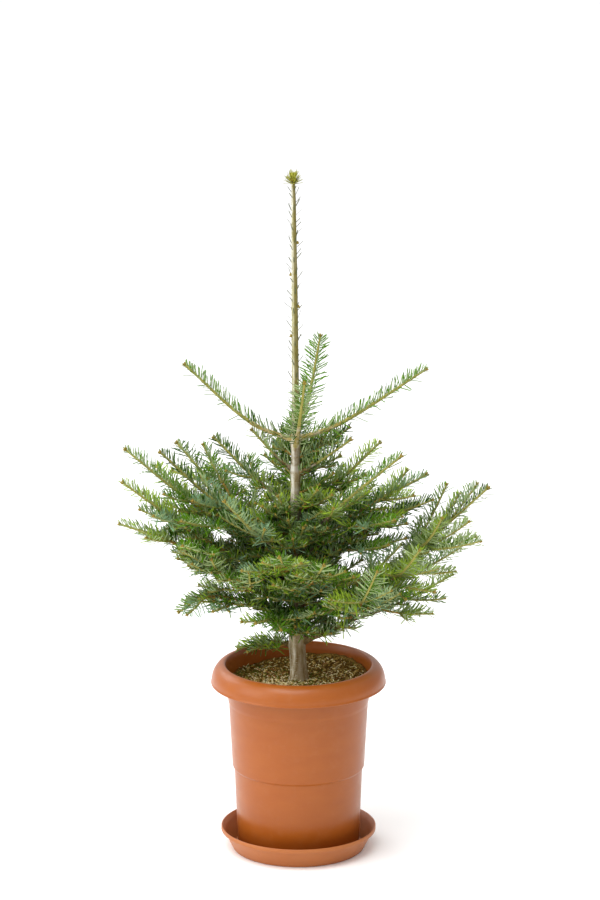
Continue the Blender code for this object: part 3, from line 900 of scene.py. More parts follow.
class Tubes:
    """Tapering tubes along paths, gathered in one bevelled curve and made one mesh."""

    def __init__(self, bevel: int) -> None:
        """Start with no tubes.

        Args:
            bevel: The curve's bevel resolution.
        """
        self.curve = bpy.data.curves.new("tubes", "CURVE")
        self.curve.dimensions = "3D"
        self.curve.bevel_depth = 1.0
        self.curve.bevel_resolution = bevel
        self.curve.use_fill_caps = True

    def add(self, points: np.ndarray, radii: np.ndarray) -> None:
        """Add one tube.

        Args:
            points: The points of its centre line.
            radii: Its radius at each.
        """
        spline = self.curve.splines.new("POLY")
        spline.points.add(len(points) - 1)
        spline.points.foreach_set("co", np.column_stack([points, np.ones(len(points))]).ravel())
        spline.points.foreach_set("radius", radii)

    def mesh(self) -> Mesh:
        """Turn the tubes into a mesh with welded caps, and remove the curve.

        Returns:
            The mesh.
        """
        thing = bpy.data.objects.new("tubes", self.curve)
        bpy.context.scene.collection.objects.link(thing)
        bpy.context.view_layer.update()
        shown = thing.evaluated_get(bpy.context.evaluated_depsgraph_get())
        mesh = bpy.data.meshes.new_from_object(shown)
        bpy.data.objects.remove(thing, do_unlink=True)
        bpy.data.curves.remove(self.curve)
        work = bmesh.new()
        work.from_mesh(mesh)
        bmesh.ops.remove_doubles(work, verts=work.verts, dist=WELD)
        work.to_mesh(mesh)
        work.free()
        return mesh


@dataclass(frozen=True)
class TwigBand:
    """The short twigs of one stretch of the trunk: how many, and their ranges.

    heights are where they spring, reach is how long they are, rise how steeply they climb in
    degrees, and azimuths the sides that they grow to.
    """

    count: int
    heights: Pair
    reach: Pair
    rise: Pair
    azimuths: Pair


@dataclass
class Growth:
    """The rule that the boughs grow by, with the source's own angles, shares and seeds."""

    trunk: Trunk
    stem_lead: float = 0.008
    side_offset: float = 0.004
    side_angle: float = 52.0
    side_angle_spread: Pair = (0.85, 1.10)
    side_droop_spread: Pair = (0.4, 1.4)
    side_length_spread: Pair = (0.85, 1.15)
    crest_angle: float = 14.0
    shortest_shoot: float = 0.036
    foot_radius: float = 0.0026
    foot_radius_per_metre: float = 0.0082
    tip_radius: float = 0.0019
    side_tip_share: float = 0.85
    taper: float = 0.74
    side_radius_per_metre: float = 0.0035
    collar_reach: float = 0.012
    collar_swell: float = 0.45
    # How far from its foot a shoot bears no needles.
    bare_foot: float = 0.006
    # The finer twigs that the source leaves out.
    fine_angle: float = 48.0
    fine_share: float = 0.62
    fine_spread: Pair = (0.8, 1.15)
    fine_sag: Pair = (-0.10, 0.04)
    shortest_fine: float = 0.022
    between_shares: tuple[float, ...] = (0.26, 0.44, 0.62, 0.80)
    between_reach: Pair = (0.28, 0.48)
    between_angle: Pair = (42.0, 62.0)
    between_sag: Pair = (-0.12, 0.08)
    between_shift: Pair = (-0.06, 0.06)
    between_years: Pair = (0.45, 0.55)
    trunk_twigs: tuple[TwigBand, ...] = (
        TwigBand(50, (0.385, 0.640), (0.055, 0.105), (15.0, 42.0), (0.0, 360.0)),
        TwigBand(9, (0.655, 0.712), (0.040, 0.070), (28.0, 50.0), (-5.0, 185.0)),
        TwigBand(9, (0.480, 0.540), (0.120, 0.155), (20.0, 34.0), (125.0, 205.0)),
        TwigBand(5, (0.430, 0.480), (0.090, 0.130), (20.0, 36.0), (10.0, 60.0)),
        TwigBand(1, (0.682, 0.682), (0.103, 0.103), (35.0, 35.0), (40.0, 40.0)),
        TwigBand(7, (0.530, 0.600), (0.050, 0.080), (30.0, 52.0), (-140.0, -40.0)),
        TwigBand(1, (0.695, 0.695), (0.105, 0.105), (30.0, 30.0), (5.0, 5.0)),
        TwigBand(1, (0.664, 0.664), (0.085, 0.085), (20.0, 20.0), (20.0, 20.0)),
        TwigBand(9, (0.390, 0.432), (0.038, 0.062), (-6.0, 24.0), (-140.0, -40.0)),
    )
    step: float = 0.006
    lift: float = 0.035
    last_order: int = 3

    def nodes(self, bough: Bough) -> list[Vector]:
        """List the points where a bough's years begin and end.

        Args:
            bough: The bough.

        Returns:
            The points, from the trunk's centre out.
        """
        nodes = [self.trunk.at(bough.foot)[0]]
        for length, rise in zip(bough.growth, bough.rises):
            nodes.append(nodes[-1] + heading(bough.azimuth, rise) * length)
        return nodes

    def grow(self, bough: Bough, seed: int) -> list[Shoot]:
        """Grow a bough with all its shoots.

        Args:
            bough: The bough.
            seed: The seed of its dice, as in the source.

        Returns:
            Its shoots, the leading ones first.
        """
        dice = random.Random(seed)
        fine = random.Random(seed + 1000)
        nodes = self.nodes(bough)
        shoots = self.leading_shoots(bough, nodes)
        for year in range(1, len(bough.growth)):
            if bough.share <= 0:
                break
            direction = (nodes[year + 1] - nodes[year]).normalized()
            up = upper_side(direction, bough.roll)
            fork = nodes[year] + direction * (self.stem_lead + self.side_offset)
            years = bough.growth[year:]
            for hand in (1, -1):
                angle = math.radians(self.side_angle * dice.uniform(*self.side_angle_spread)) * hand
                aim = Matrix.Rotation(angle, 3, up) @ direction
                aim.z -= bough.droop * dice.uniform(*self.side_droop_spread)
                lengths = self.side_lengths(years, bough.share, dice)
                scale = max(1.0, self.shortest_shoot / sum(lengths))
                tip = fork + aim.normalized() * sum(lengths) * scale
                shoots += self.side(nodes[year], tip, lengths, 1, fine)
            if bough.crest > 0 and len(years) <= 2:
                angle = math.radians(self.crest_angle)
                aim = Matrix.Rotation(angle, 3, direction.cross(up)) @ direction
                lengths = self.side_lengths(years, bough.crest, dice)
                shoots += self.side(nodes[year], fork + aim * sum(lengths), lengths, 1, fine)
        if bough.share > 0:
            for start, stop in zip(nodes[:-2], nodes[1:-1]):
                shoots += self.between(start, stop, self.between_shares, 2, fine)
        for sprig in SPRIGS:
            if sprig.bough == bough.name:
                root = nodes[sprig.year]
                tip = root + heading(sprig.azimuth, sprig.rise) * sum(sprig.growth)
                shoots += self.side(root, tip, sprig.growth, 1, fine)
        for shoot in shoots:
            shoot.roll = bough.roll
        return shoots

    def side_lengths(self, years: Sequence[float], share: float, dice: random.Random) -> list[float]:
        """Choose the lengths of a side shoot's years from the same years of its bearer."""
        return [year * share * dice.uniform(*self.side_length_spread) for year in years]

    def leading_shoots(self, bough: Bough, nodes: list[Vector]) -> list[Shoot]:
        """Grow a bough's own line, one shoot a year.

        Args:
            bough: The bough.
            nodes: The points where its years begin and end.

        Returns:
            The shoots, from the trunk out.
        """
        points, stretch = smooth_path(nodes, self.step)
        steps = np.concatenate([[0.0], np.cumsum(np.linalg.norm(np.diff(points, axis=0), axis=1))])
        foot = self.foot_radius + self.foot_radius_per_metre * sum(bough.growth)
        radii = foot + (self.tip_radius - foot) * (steps / steps[-1]) ** self.taper
        trunk_radius = self.trunk.at(bough.foot)[1]
        near = np.clip((steps - trunk_radius) / self.collar_reach, 0.0, None)
        radii *= 1.0 + self.collar_swell * np.exp(-near * near * 2.0)
        years = len(bough.growth)
        shoots = []
        for year in range(years):
            chosen = np.flatnonzero(stretch == year)
            part = slice(chosen[0], chosen[-1] + 2)
            bare = trunk_radius + self.bare_foot if year == 0 else 0.0
            age = years - 1 - year
            limb = age >= 2 or year == 0
            shoots.append(Shoot(points[part], radii[part], age, 0, age == 0, bare, limb))
        return shoots

    def side(
        self, root: Vector, tip: Vector, lengths: Sequence[float], order: int, dice: random.Random
    ) -> list[Shoot]:
        """Grow a side shoot and its own finer twigs.

        Args:
            root: Where it leaves its bearer.
            tip: Where it ends.
            lengths: The length of each of its years, oldest first.
            order: The number of forks that lead to it.
            dice: The random numbers of the finer twigs.

        Returns:
            The shoots.
        """
        whole = (tip - root).length
        direction = (tip - root).normalized()
        rise = upper_side(direction)
        years = len(lengths)
        share = np.linspace(0.0, 1.0, max(4, round(whole / self.step)))
        sag = -self.lift * whole * np.sin(np.pi * share)
        points = np.array(root) + np.outer(share * whole, direction) + np.outer(sag, rise)
        foot = self.tip_radius + self.side_radius_per_metre * whole
        radii = foot + (self.tip_radius * self.side_tip_share - foot) * share
        marks = np.concatenate([[0.0], np.cumsum(lengths) / sum(lengths)])
        shoots = []
        for year in range(years):
            first = int(np.searchsorted(share, marks[year]))
            last = int(np.searchsorted(share, marks[year + 1] - 1e-6))
            if last <= first:
                continue
            part = slice(first, last + 1)
            age = years - 1 - year
            bare = self.bare_foot if year == 0 else 0.0
            shoots.append(Shoot(points[part], radii[part], age, order, age == 0, bare))
            if order >= self.last_order:
                continue
            fork = Vector(points[first])
            if order == 1 and age > 0 and lengths[year] > 2 * self.shortest_fine:
                shoots += self.between(fork, Vector(points[last]), (0.5,), 3, dice)
            if year == 0:
                continue
            for hand in (1, -1):
                angle = math.radians(self.fine_angle * dice.uniform(*self.fine_spread)) * hand
                aim = Matrix.Rotation(angle, 3, rise) @ direction
                aim.z += dice.uniform(*self.fine_sag)
                fade = self.fine_share
                finer = [length * fade * dice.uniform(*self.fine_spread) for length in lengths[year:]]
                reach = max(sum(finer), self.shortest_fine)
                shoots += self.side(fork, fork + aim.normalized() * reach, finer, order + 1, dice)
        return shoots

    def between(
        self, start: Vector, stop: Vector, shares: Sequence[float], order: int, dice: random.Random
    ) -> list[Shoot]:
        """Grow the short shoots that spring between the nodes of a shoot.

        Args:
            start: Where the shoot begins.
            stop: Where it ends.
            shares: How far along it they spring.
            order: The number of forks that lead to them.
            dice: The random numbers of the finer twigs.

        Returns:
            The shoots.
        """
        direction = (stop - start).normalized()
        length = (stop - start).length
        hand = dice.choice((1, -1))
        shoots: list[Shoot] = []
        for share in shares:
            hand = -hand
            angle = math.radians(dice.uniform(*self.between_angle)) * hand
            aim = Matrix.Rotation(angle, 3, upper_side(direction)) @ direction
            aim.z += dice.uniform(*self.between_sag)
            root = start.lerp(stop, share + dice.uniform(*self.between_shift))
            reach = max(length * dice.uniform(*self.between_reach), self.shortest_fine)
            years = [reach * part for part in self.between_years]
            shoots += self.side(root, root + aim.normalized() * reach, years, order, dice)
        return shoots

    def inner(self, seed: int) -> list[Shoot]:
        """Grow the short twigs that spring from the trunk between the whorls.

        Args:
            seed: The seed of their dice.

        Returns:
            Their shoots.
        """
        dice = random.Random(seed)
        shoots: list[Shoot] = []
        for band in self.trunk_twigs:
            for _ in range(band.count):
                root = self.trunk.at(dice.uniform(*band.heights))[0]
                reach = dice.uniform(*band.reach)
                aim = heading(dice.uniform(*band.azimuths), dice.uniform(*band.rise))
                shoots += self.side(root, root + aim * reach, [reach * 0.5, reach * 0.5], 1, dice)
        return shoots


# Sprays


@dataclass
class Sprays:
    """The needles, twigs and buds of one storey of the crown.

    Angles are in degrees, apart from twist_spread and bud_splay, which are in radians. A needle
    turns away from its shoot's upper side by parting, and by up to sweep more if it springs from
    below. It leans away from the shoot's course by lean, less lean_top on the upper side and
    lean_tip at the shoot's end.
    """

    tier: str
    pattern: NeedlePattern = field(default_factory=NeedlePattern)
    needle: float = 0.0280
    width: float = 0.0018
    pitch: float = 0.00112
    pitch_a_year: float = 0.15
    # The length of a needle on the upper side of a shoot beside one below, and their spread.
    top_length: float = 0.80
    length_spread: Pair = (0.80, 1.06)
    parting: float = 8.0
    sweep: float = 112.0
    turn_spread: float = 15.0
    lean: float = 66.0
    lean_top: float = 8.0
    lean_tip: float = 25.0
    lean_spread: float = 8.0
    twist_spread: float = 0.38
    tip_reach: float = 0.012
    tip_shortening: float = 0.62
    bud_counts: tuple[int, ...] = (4, 3, 2, 1)
    bud_sizes: tuple[float, ...] = (0.0072, 0.0060, 0.0045, 0.0036)
    bud_width: float = 0.62
    bud_splay: float = 0.55
    bud_sink: float = 0.0006
    # What needles keep clear of: the trunk under the leader, the pot's rim and the soil.
    trunk_lean: float = -0.005
    trunk_clearance: float = 0.011
    trunk_top: float = 0.72
    rim_ring: Pair = (0.118, 0.155)
    rim_height: float = 0.336
    soil_height: float = 0.325
    blue_share: float = 0.14
    # The odds of the freshest and the deepest green on shoots of this year, last year and older.
    fresh_odds: Triple = (0.45, 0.14, 0.04)
    deep_odds: Triple = (0.22, 0.44, 0.66)
    shoots: list[Shoot] = field(default_factory=list)

    def __post_init__(self) -> None:
        """Start one heap of needles for each green, and the others."""
        self.upper = {shade: Copies(self.pattern.upper()) for shade in Shade}
        self.under = Copies(self.pattern.under())
        self.buds = Copies(bud_pattern())

    def shade_of(self, shoot: Shoot, dice: np.random.Generator) -> Shade:
        """Deal a green to a spray by its age.

        Args:
            shoot: The shoot that bears the spray.
            dice: The storey's random numbers.

        Returns:
            The green.
        """
        if dice.random() < self.blue_share:
            return Shade.BLUE
        age = min(shoot.age, 2)
        fresh = self.fresh_odds[age]
        deep = self.deep_odds[age] * (1.0 - fresh)
        return (Shade.FRESH, Shade.MID, Shade.DEEP)[dice.choice(3, p=(fresh, 1.0 - fresh - deep, deep))]

    def dress(self, shoot: Shoot, dice: np.random.Generator) -> None:
        """Set the needles on one shoot.

        Args:
            shoot: The shoot.
            dice: The storey's random numbers.
        """
        pitch = self.pitch * (1.0 + self.pitch_a_year * shoot.age)
        room = shoot.length - shoot.bare_until
        count = int(room / pitch)
        if count < 1:
            return
        distances = shoot.bare_until + (np.arange(count) + dice.uniform(0, 1, count)) * room / count
        roots, tangents, radii = shoot.at(distances)
        round_angle = (np.arange(count) * GOLDEN_TURN + dice.uniform(0, math.tau)) % math.tau - math.pi
        level = unit_rows(np.cross(tangents, np.array(UP)))
        roll = math.radians(shoot.roll)
        rise = np.cross(level, tangents) * math.cos(roll) + level * math.sin(roll)
        across = np.cross(tangents, rise)
        spread = np.abs(round_angle) / math.pi
        # Needles part along the top of a shoot and are swept out to its sides from below.
        turned = self.parting + self.sweep * spread**0.9 + dice.normal(0, self.turn_spread, count)
        turned = np.radians(turned) * np.sign(round_angle)
        outward = swung(rise, across, turned)
        tip = np.exp((distances - shoot.length) / self.tip_reach) * shoot.ends
        lean = self.lean - self.lean_top * (1 - spread) - self.lean_tip * tip
        lean = np.radians(lean + dice.normal(0, self.lean_spread, count))
        direction = unit_rows(swung(tangents, outward, lean))
        size = self.needle * (self.top_length + (1.0 - self.top_length) * spread)
        size *= dice.uniform(*self.length_spread, count) * (1.0 - self.tip_shortening * tip)
        flank = np.arctan2(np.abs(np.sin(turned)), np.abs(np.cos(turned)))
        face = swung(tangents, rise, flank)
        face = unit_rows(face - direction * np.sum(face * direction, axis=1, keepdims=True))
        twist = dice.normal(0, self.twist_spread, count)
        face = swung(face, np.cross(face, direction), twist)
        side = np.cross(face, direction)
        roots = roots + outward * (radii * 0.7)[:, None]
        kept = self.clear(roots, roots + direction * size[:, None])
        axes = np.stack([direction * size[:, None], side * self.width, face * size[:, None]], axis=1)
        self.upper[self.shade_of(shoot, dice)].place(roots[kept], axes[kept])
        self.under.place(roots[kept], axes[kept])

    def clear(self, roots: np.ndarray, tips: np.ndarray) -> np.ndarray:
        """Find the needles that run into neither the trunk, the soil nor the pot's rim.

        Args:
            roots: The needles' feet.
            tips: The needles' tips.

        Returns:
            True for each needle that is kept.
        """
        kept = np.ones(len(roots), bool)
        for share in (0.5, 1.0):
            x, y, z = (roots + (tips - roots) * share).T
            off_axis = np.hypot(x, y)
            in_ring = (off_axis > self.rim_ring[0]) & (off_axis < self.rim_ring[1])
            kept &= (np.hypot(x - self.trunk_lean, y) >= self.trunk_clearance) | (z >= self.trunk_top)
            kept &= ~(in_ring & (z < self.rim_height)) & (z > self.soil_height)
        return kept

    def bud(self, shoot: Shoot, dice: np.random.Generator) -> None:
        """Set the cluster of buds on a shoot's tip.

        Args:
            shoot: The shoot.
            dice: The storey's random numbers.
        """
        points, tangents, _ = shoot.at(np.array([shoot.length]))
        tangent = Vector(tangents[0])
        rise = upper_side(tangent)
        across = rise.cross(tangent)
        count = self.bud_counts[shoot.order]
        size = self.bud_sizes[shoot.order]
        for k in range(count):
            turn = 0.0 if count == 1 else self.bud_splay
            swing = math.tau * k / 3 + dice.uniform(-0.3, 0.3)
            out = rise * math.cos(swing) + across * math.sin(swing)
            x_axis = (tangent * math.cos(turn) + out * math.sin(turn)).normalized()
            y_axis = x_axis.cross(rise).normalized()
            z_axis = x_axis.cross(y_axis)
            root = Vector(points[0]) - x_axis * self.bud_sink
            width = size * self.bud_width
            self.buds.place_one(root, (x_axis * size, y_axis * width, z_axis * width))

    def build(self, seed: int) -> None:
        """Build the storey's pieces.

        Args:
            seed: The storey's seed.
        """
        dice = np.random.default_rng(seed)
        woods: dict[Wood, Tubes] = {}
        for shoot in self.shoots:
            self.dress(shoot, dice)
            if shoot.ends:
                self.bud(shoot, dice)
            if shoot.limb:
                continue
            wood = list(Wood)[min(shoot.age, 2)]
            if wood not in woods:
                woods[wood] = Tubes(1)
            woods[wood].add(shoot.points, shoot.radii)
        for wood in Wood:
            if wood in woods:
                finished(f"{wood.value.name}_{self.tier}", woods[wood].mesh(), wood.value)
        for shade in Shade:
            if self.upper[shade].frames:
                mesh = self.upper[shade].joined()
                finished(f"{shade.value.name}_{self.tier}", mesh, shade.value)
        finished(f"needle_undersides_{self.tier}", self.under.joined(), UNDERSIDE)
        finished(f"buds_{self.tier}", self.buds.joined(), BUD)


@dataclass
class Crown:
    """Every bough with its limb, twigs, needles and buds, one storey at a time."""

    trunk: Trunk
    boughs: tuple[Bough, ...] = BOUGHS
    inner_seed: int = 91
    top_fresh_odds: Triple = (0.12, 0.14, 0.04)
    # The lumps of the limbs' bark: how large each kind is and how far it stands out.
    lumps: tuple[Pair, ...] = ((0.006, 0.00035), (0.0025, 0.000175))

    def build(self) -> None:
        """Build every storey."""
        growth = Growth(self.trunk)
        for number, tier in enumerate(dict.fromkeys(bough.tier for bough in self.boughs)):
            sprays = Sprays(tier)
            bark = LIMB_BARK
            if tier == "top":
                sprays.fresh_odds = self.top_fresh_odds
                bark = YOUNG_BARK
            limbs = Tubes(3)
            nodes = []
            for seed, bough in enumerate(self.boughs):
                if bough.tier != tier:
                    continue
                shoots = growth.grow(bough, seed)
                sprays.shoots += shoots
                nodes.append(bough.name + "_foliage")
                if bough.limb:
                    nodes.append(bough.name + "_bough")
                for shoot in shoots:
                    if shoot.limb:
                        limbs.add(shoot.points, shoot.radii)
            sprays.build(number)
            total = sum(shoot.length for shoot in sprays.shoots)
            LOG.info("%s: %d shoots, %.1f m", tier, len(sprays.shoots), total)
            mesh = limbs.mesh()
            self.roughen(mesh)
            limb = finished(f"limbs_{tier}", mesh, bark)
            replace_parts(limb, *nodes)
        inner = Sprays("inner")
        inner.shoots = growth.inner(self.inner_seed)
        inner.build(self.inner_seed)

    def roughen(self, mesh: Mesh) -> None:
        """Give limbs the bark's relief.

        Args:
            mesh: The limbs' mesh.
        """
        for vertex in mesh.vertices:
            rise = sum(height * noise.noise(vertex.co / size) for size, height in self.lumps)
            vertex.co += vertex.normal * rise


@dataclass
class Leader:
    """The bare leader's short needles and side buds, and the tuft of buds on its tip."""

    trunk: Trunk
    seed: int = 77
    needle: float = 0.0160
    width: float = 0.0017
    pitch: float = 0.0085
    tilt: float = 52.0
    bend: float = 0.22
    # Height and azimuth of the buds on the leader's sides.
    side_buds: tuple[Pair, ...] = (
        (1.070, 15.0),
        (1.015, 165.0),
        (0.961, -20.0),
        (0.910, 200.0),
    )
    # How far above the leader's foot its needles start, and how far below its top they end.
    bare_ends: Pair = (0.006, 0.012)
    tilt_spread: float = 9.0
    length_spread: Pair = (0.75, 1.1)
    bud_width: float = 0.65
    side_bud: float = 0.0058
    # Six buds stand round the top bud.
    ring_bud: float = 0.0080
    top_bud: float = 0.0095
    tuft_rise: float = 0.008
    tuft_radius: float = 0.0022
    tuft_needles: int = 84
    tuft_needle: float = 0.0165

    def build(self) -> None:
        """Build the leader's needles and buds, and the tuft."""
        dice = np.random.default_rng(self.seed)
        pattern = NeedlePattern(bend=self.bend)
        needles = (Copies(pattern.upper()), Copies(pattern.under()))
        tuft = (Copies(pattern.upper()), Copies(pattern.under()))
        buds = Copies(bud_pattern())
        top = self.trunk.course[-1][0]
        foot = self.trunk.leader_from
        heights = np.arange(foot + self.bare_ends[0], top - self.bare_ends[1], self.pitch / 2)
        for k, height in enumerate(heights):
            centre, radius = self.trunk.at(height)
            self.needle_at(centre, radius, k * GOLDEN_TURN, self.tilt, self.needle, dice, needles)
        for height, azimuth in self.side_buds:
            centre, radius = self.trunk.at(height)
            foot = centre + heading(azimuth, 0) * radius * 0.8
            for rise in (10, 50):
                self.bud_at(foot, heading(azimuth, rise), self.side_bud, buds)
        centre = self.trunk.at(top)[0]
        for k in range(7):
            rise, size = (90, self.top_bud) if k == 6 else (50, self.ring_bud)
            self.bud_at(centre + UP * 0.001, heading(k * 60, rise), size, buds)
        for k in range(self.tuft_needles):
            share = k / self.tuft_needles
            root = centre + UP * (self.tuft_rise * (share - 0.35))
            turn, tilt = k * GOLDEN_TURN, 92 - 72 * share
            self.needle_at(root, self.tuft_radius, turn, tilt, self.tuft_needle, dice, tuft)
        for name, heap, finish, slot in (
            ("leader_needles", needles[0], SCALE_NEEDLE, "needles"),
            ("leader_undersides", needles[1], SCALE_NEEDLE, "needles"),
            ("leader_buds", buds, BUD, "bough_bark"),
            ("tuft_needles", tuft[0], YOUNG, "young_needles"),
            ("tuft_undersides", tuft[1], YOUNG, "young_needles"),
        ):
            piece = finished(name, heap.joined(), finish)
            if name == "tuft_needles":
                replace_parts(piece, "leader_tuft")

    def needle_at(
        self,
        centre: Vector,
        radius: float,
        turn: float,
        tilt: float,
        size: float,
        dice: np.random.Generator,
        sides: tuple[Copies, Copies],
    ) -> None:
        """Set one needle on the leader.

        Args:
            centre: The leader's centre there.
            radius: The leader's radius there.
            turn: The needle's azimuth in radians.
            tilt: Its angle from upright in degrees.
            size: Its length.
            dice: The random numbers.
            sides: The heaps for its upper side and underside.
        """
        out = Vector((math.cos(turn), math.sin(turn), 0.0))
        angle = math.radians(tilt + dice.normal(0, self.tilt_spread))
        x_axis = UP * math.cos(angle) + out * math.sin(angle)
        face = (UP - x_axis * UP.dot(x_axis)).normalized()
        length = size * dice.uniform(*self.length_spread)
        for side in sides:
            axes = (x_axis * length, face.cross(x_axis) * self.width, face * length)
            side.place_one(centre + out * radius * 0.8, axes)

    def bud_at(self, root: Vector, out: Vector, size: float, buds: Copies) -> None:
        """Set one bud.

        Args:
            root: Its foot.
            out: The way that it points.
            size: Its length.
            buds: The heap of buds.
        """
        y_axis = out.cross(Vector((0.3, 0.9, 0.1))).normalized()
        width = size * self.bud_width
        buds.place_one(root, (out * size, y_axis * width, out.cross(y_axis) * width))


# Pot, saucer and soil


def line_of(work: BMesh, profile: Sequence[Pair]) -> list[BMVert]:
    """Draw a profile in the plane of X and Z.

    Args:
        work: The bmesh to draw it in.
        profile: Pairs of a radius and a height.

    Returns:
        Its points.
    """
    points = [work.verts.new((radius, 0.0, height)) for radius, height in profile]
    for start, stop in zip(points, points[1:]):
        work.edges.new((start, stop))
    return points


def spin(work: BMesh, steps: int) -> None:
    """Spin what a bmesh holds about Z and weld the seam.

    Args:
        work: The bmesh.
        steps: The number of steps round.
    """
    around = {"cent": (0, 0, 0), "axis": (0, 0, 1), "angle": math.tau, "steps": steps, "use_merge": True}
    bmesh.ops.spin(work, geom=work.verts[:] + work.edges[:], **around)
    bmesh.ops.remove_doubles(work, verts=work.verts, dist=WELD)


def turned(profile: Sequence[Pair], steps: int, fillets: dict[int, float]) -> Mesh:
    """Turn a profile about Z into a closed shell.

    Args:
        profile: Pairs of a radius and a height, from the axis over the top and back to the axis.
        steps: The number of steps round.
        fillets: The width of the rounding at some of the profile's corners, under their number.

    Returns:
        The shell.
    """
    work = bmesh.new()
    points = line_of(work, profile)
    rounding = {"affect": "VERTICES", "segments": 3, "profile": 0.5, "material": -1}
    for number, width in fillets.items():
        bmesh.ops.bevel(work, geom=[points[number]], offset=width, **rounding)
    spin(work, steps)
    bmesh.ops.recalc_face_normals(work, faces=work.faces)
    return mesh_from(work)


@dataclass
class Pot:
    """The pot: a stepped, tapering body under a bulging rim, moulded 2.5 mm thick."""

    body: tuple[Pair, ...] = (
        (0.0070, 0.1050),
        (0.1452, 0.1106),
        (0.1495, 0.1140),
        (0.2620, 0.1200),
        (0.2680, 0.1216),
        (0.3020, 0.1258),
        (0.3170, 0.1270),
    )
    wall: float = 0.0025
    floor: float = 0.0028
    floor_thickness: float = 0.003
    foot_bevel: float = 0.003
    rim_top: float = 0.332
    mouth_radius: float = 0.1275
    mouth_bevel: float = 0.0016
    rim_radius: float = 0.150
    rim_skirt: float = 0.3005
    rim_edge: float = 0.0026
    bead: float = 0.0008
    step_fillet: float = 0.0009
    lip_fillets: Pair = (0.0010, 0.0006)
    arc_steps: int = 16
    steps: int = 160

    def arc(self, inset: float, steps: int) -> list[Pair]:
        """Draw the rim's quarter round.

        Args:
            inset: How far it lies within the rim's outer face.
            steps: The number of steps along it.

        Returns:
            Pairs of a radius and a height, from the mouth out and down.
        """
        wide = self.rim_radius - self.mouth_radius - inset
        tall = self.rim_top - self.rim_skirt - inset
        angles = [math.pi / 2 * (1 - k / steps) for k in range(steps + 1)]
        return [
            (self.mouth_radius + wide * math.cos(angle), self.rim_skirt + tall * math.sin(angle))
            for angle in angles
        ]

    def build(self) -> None:
        """Build the pot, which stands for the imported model's own."""
        foot = self.body[0][1]
        floor_top = self.floor + self.floor_thickness
        skirt_foot = self.rim_skirt - self.rim_edge
        beaded = self.rim_radius + self.bead
        profile = [(0.0, floor_top), (foot - self.wall, floor_top)]
        profile += [(radius - self.wall, height) for height, radius in self.body[1:]]
        profile += [(self.mouth_radius - self.mouth_bevel, self.rim_top - self.mouth_bevel)]
        profile += self.arc(0.0, self.arc_steps)
        profile += [(beaded, self.rim_skirt - self.bead), (beaded, skirt_foot)]
        lip = len(profile) - 1
        profile += [(self.rim_radius - self.wall, skirt_foot)]
        profile += self.arc(self.wall, self.arc_steps // 2)[:0:-1]
        outside = len(profile)
        profile += [(radius, height) for height, radius in reversed(self.body)]
        profile += [(foot - self.foot_bevel, self.floor), (0.0, self.floor)]
        fillets = {lip: self.lip_fillets[0], lip + 1: self.lip_fillets[1]}
        fillets.update({outside + k: self.step_fillet for k in (2, 3, 4, 5)})
        pot = finished("pot_shell", turned(profile, self.steps, fillets), POT_PLASTIC)
        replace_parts(pot, "pot")


@dataclass
class Saucer:
    """The saucer: a shallow dish with a thick lip."""

    lip_radius: float = 0.134
    neck_radius: float = 0.129
    foot_radius: float = 0.114
    height: float = 0.039
    lip_band: float = 0.007
    lip_bevel: float = 0.001
    wall: float = 0.0025
    # The rounding of some of the profile's corners, under their number.
    fillets: tuple[tuple[int, float], ...] = ((1, 0.002), (2, 0.002), (7, 0.0005), (8, 0.0008), (9, 0.002))
    steps: int = 160

    def build(self) -> None:
        """Build the saucer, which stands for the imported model's own."""
        lip_foot = self.height - self.lip_band
        inner = self.lip_radius - self.wall
        profile = (
            (0.0, self.wall),
            (self.foot_radius - self.wall, self.wall),
            (self.neck_radius - self.wall, lip_foot),
            (inner, self.height - self.lip_bevel),
            (inner + self.lip_bevel, self.height),
            (self.lip_radius - self.lip_bevel, self.height),
            (self.lip_radius, self.height - self.lip_bevel),
            (self.lip_radius, lip_foot),
            (self.neck_radius, lip_foot - self.lip_bevel),
            (self.foot_radius, 0.0),
            (0.0, 0.0),
        )
        mesh = turned(profile, self.steps, dict(self.fillets))
        saucer = finished("saucer_shell", mesh, SAUCER_PLASTIC)
        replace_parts(saucer, "saucer")


@dataclass(frozen=True)
class Scraps:
    """One kind of litter: its finish, how many lie there, and the size of one."""

    finish: TwigFinish
    count: int
    size: Triple


class Litter(Enum):
    """What lies on the soil."""

    DARK_CRUMBS = Scraps(TwigFinish("crumbs_dark", "#634819", 0.95), 1500, (0.0042, 0.0034, 0.0030))
    BROWN_CRUMBS = Scraps(TwigFinish("crumbs_brown", "#9e8146", 0.95), 900, (0.0040, 0.0034, 0.0028))
    RED_CHIPS = Scraps(TwigFinish("chips_red", "#80552f", 0.9), 70, (0.0100, 0.0045, 0.0012))
    TAN_CHIPS = Scraps(TwigFinish("chips_tan", "#ceb67c", 0.9), 420, (0.0080, 0.0028, 0.0010))
    STRAW = Scraps(TwigFinish("straw", "#f0dfb2", 0.85), 1000, (0.0120, 0.0013, 0.0009))
    MOSS = Scraps(TwigFinish("moss", "#5f6822", 0.9), 1300, (0.0055, 0.0009, 0.0007))


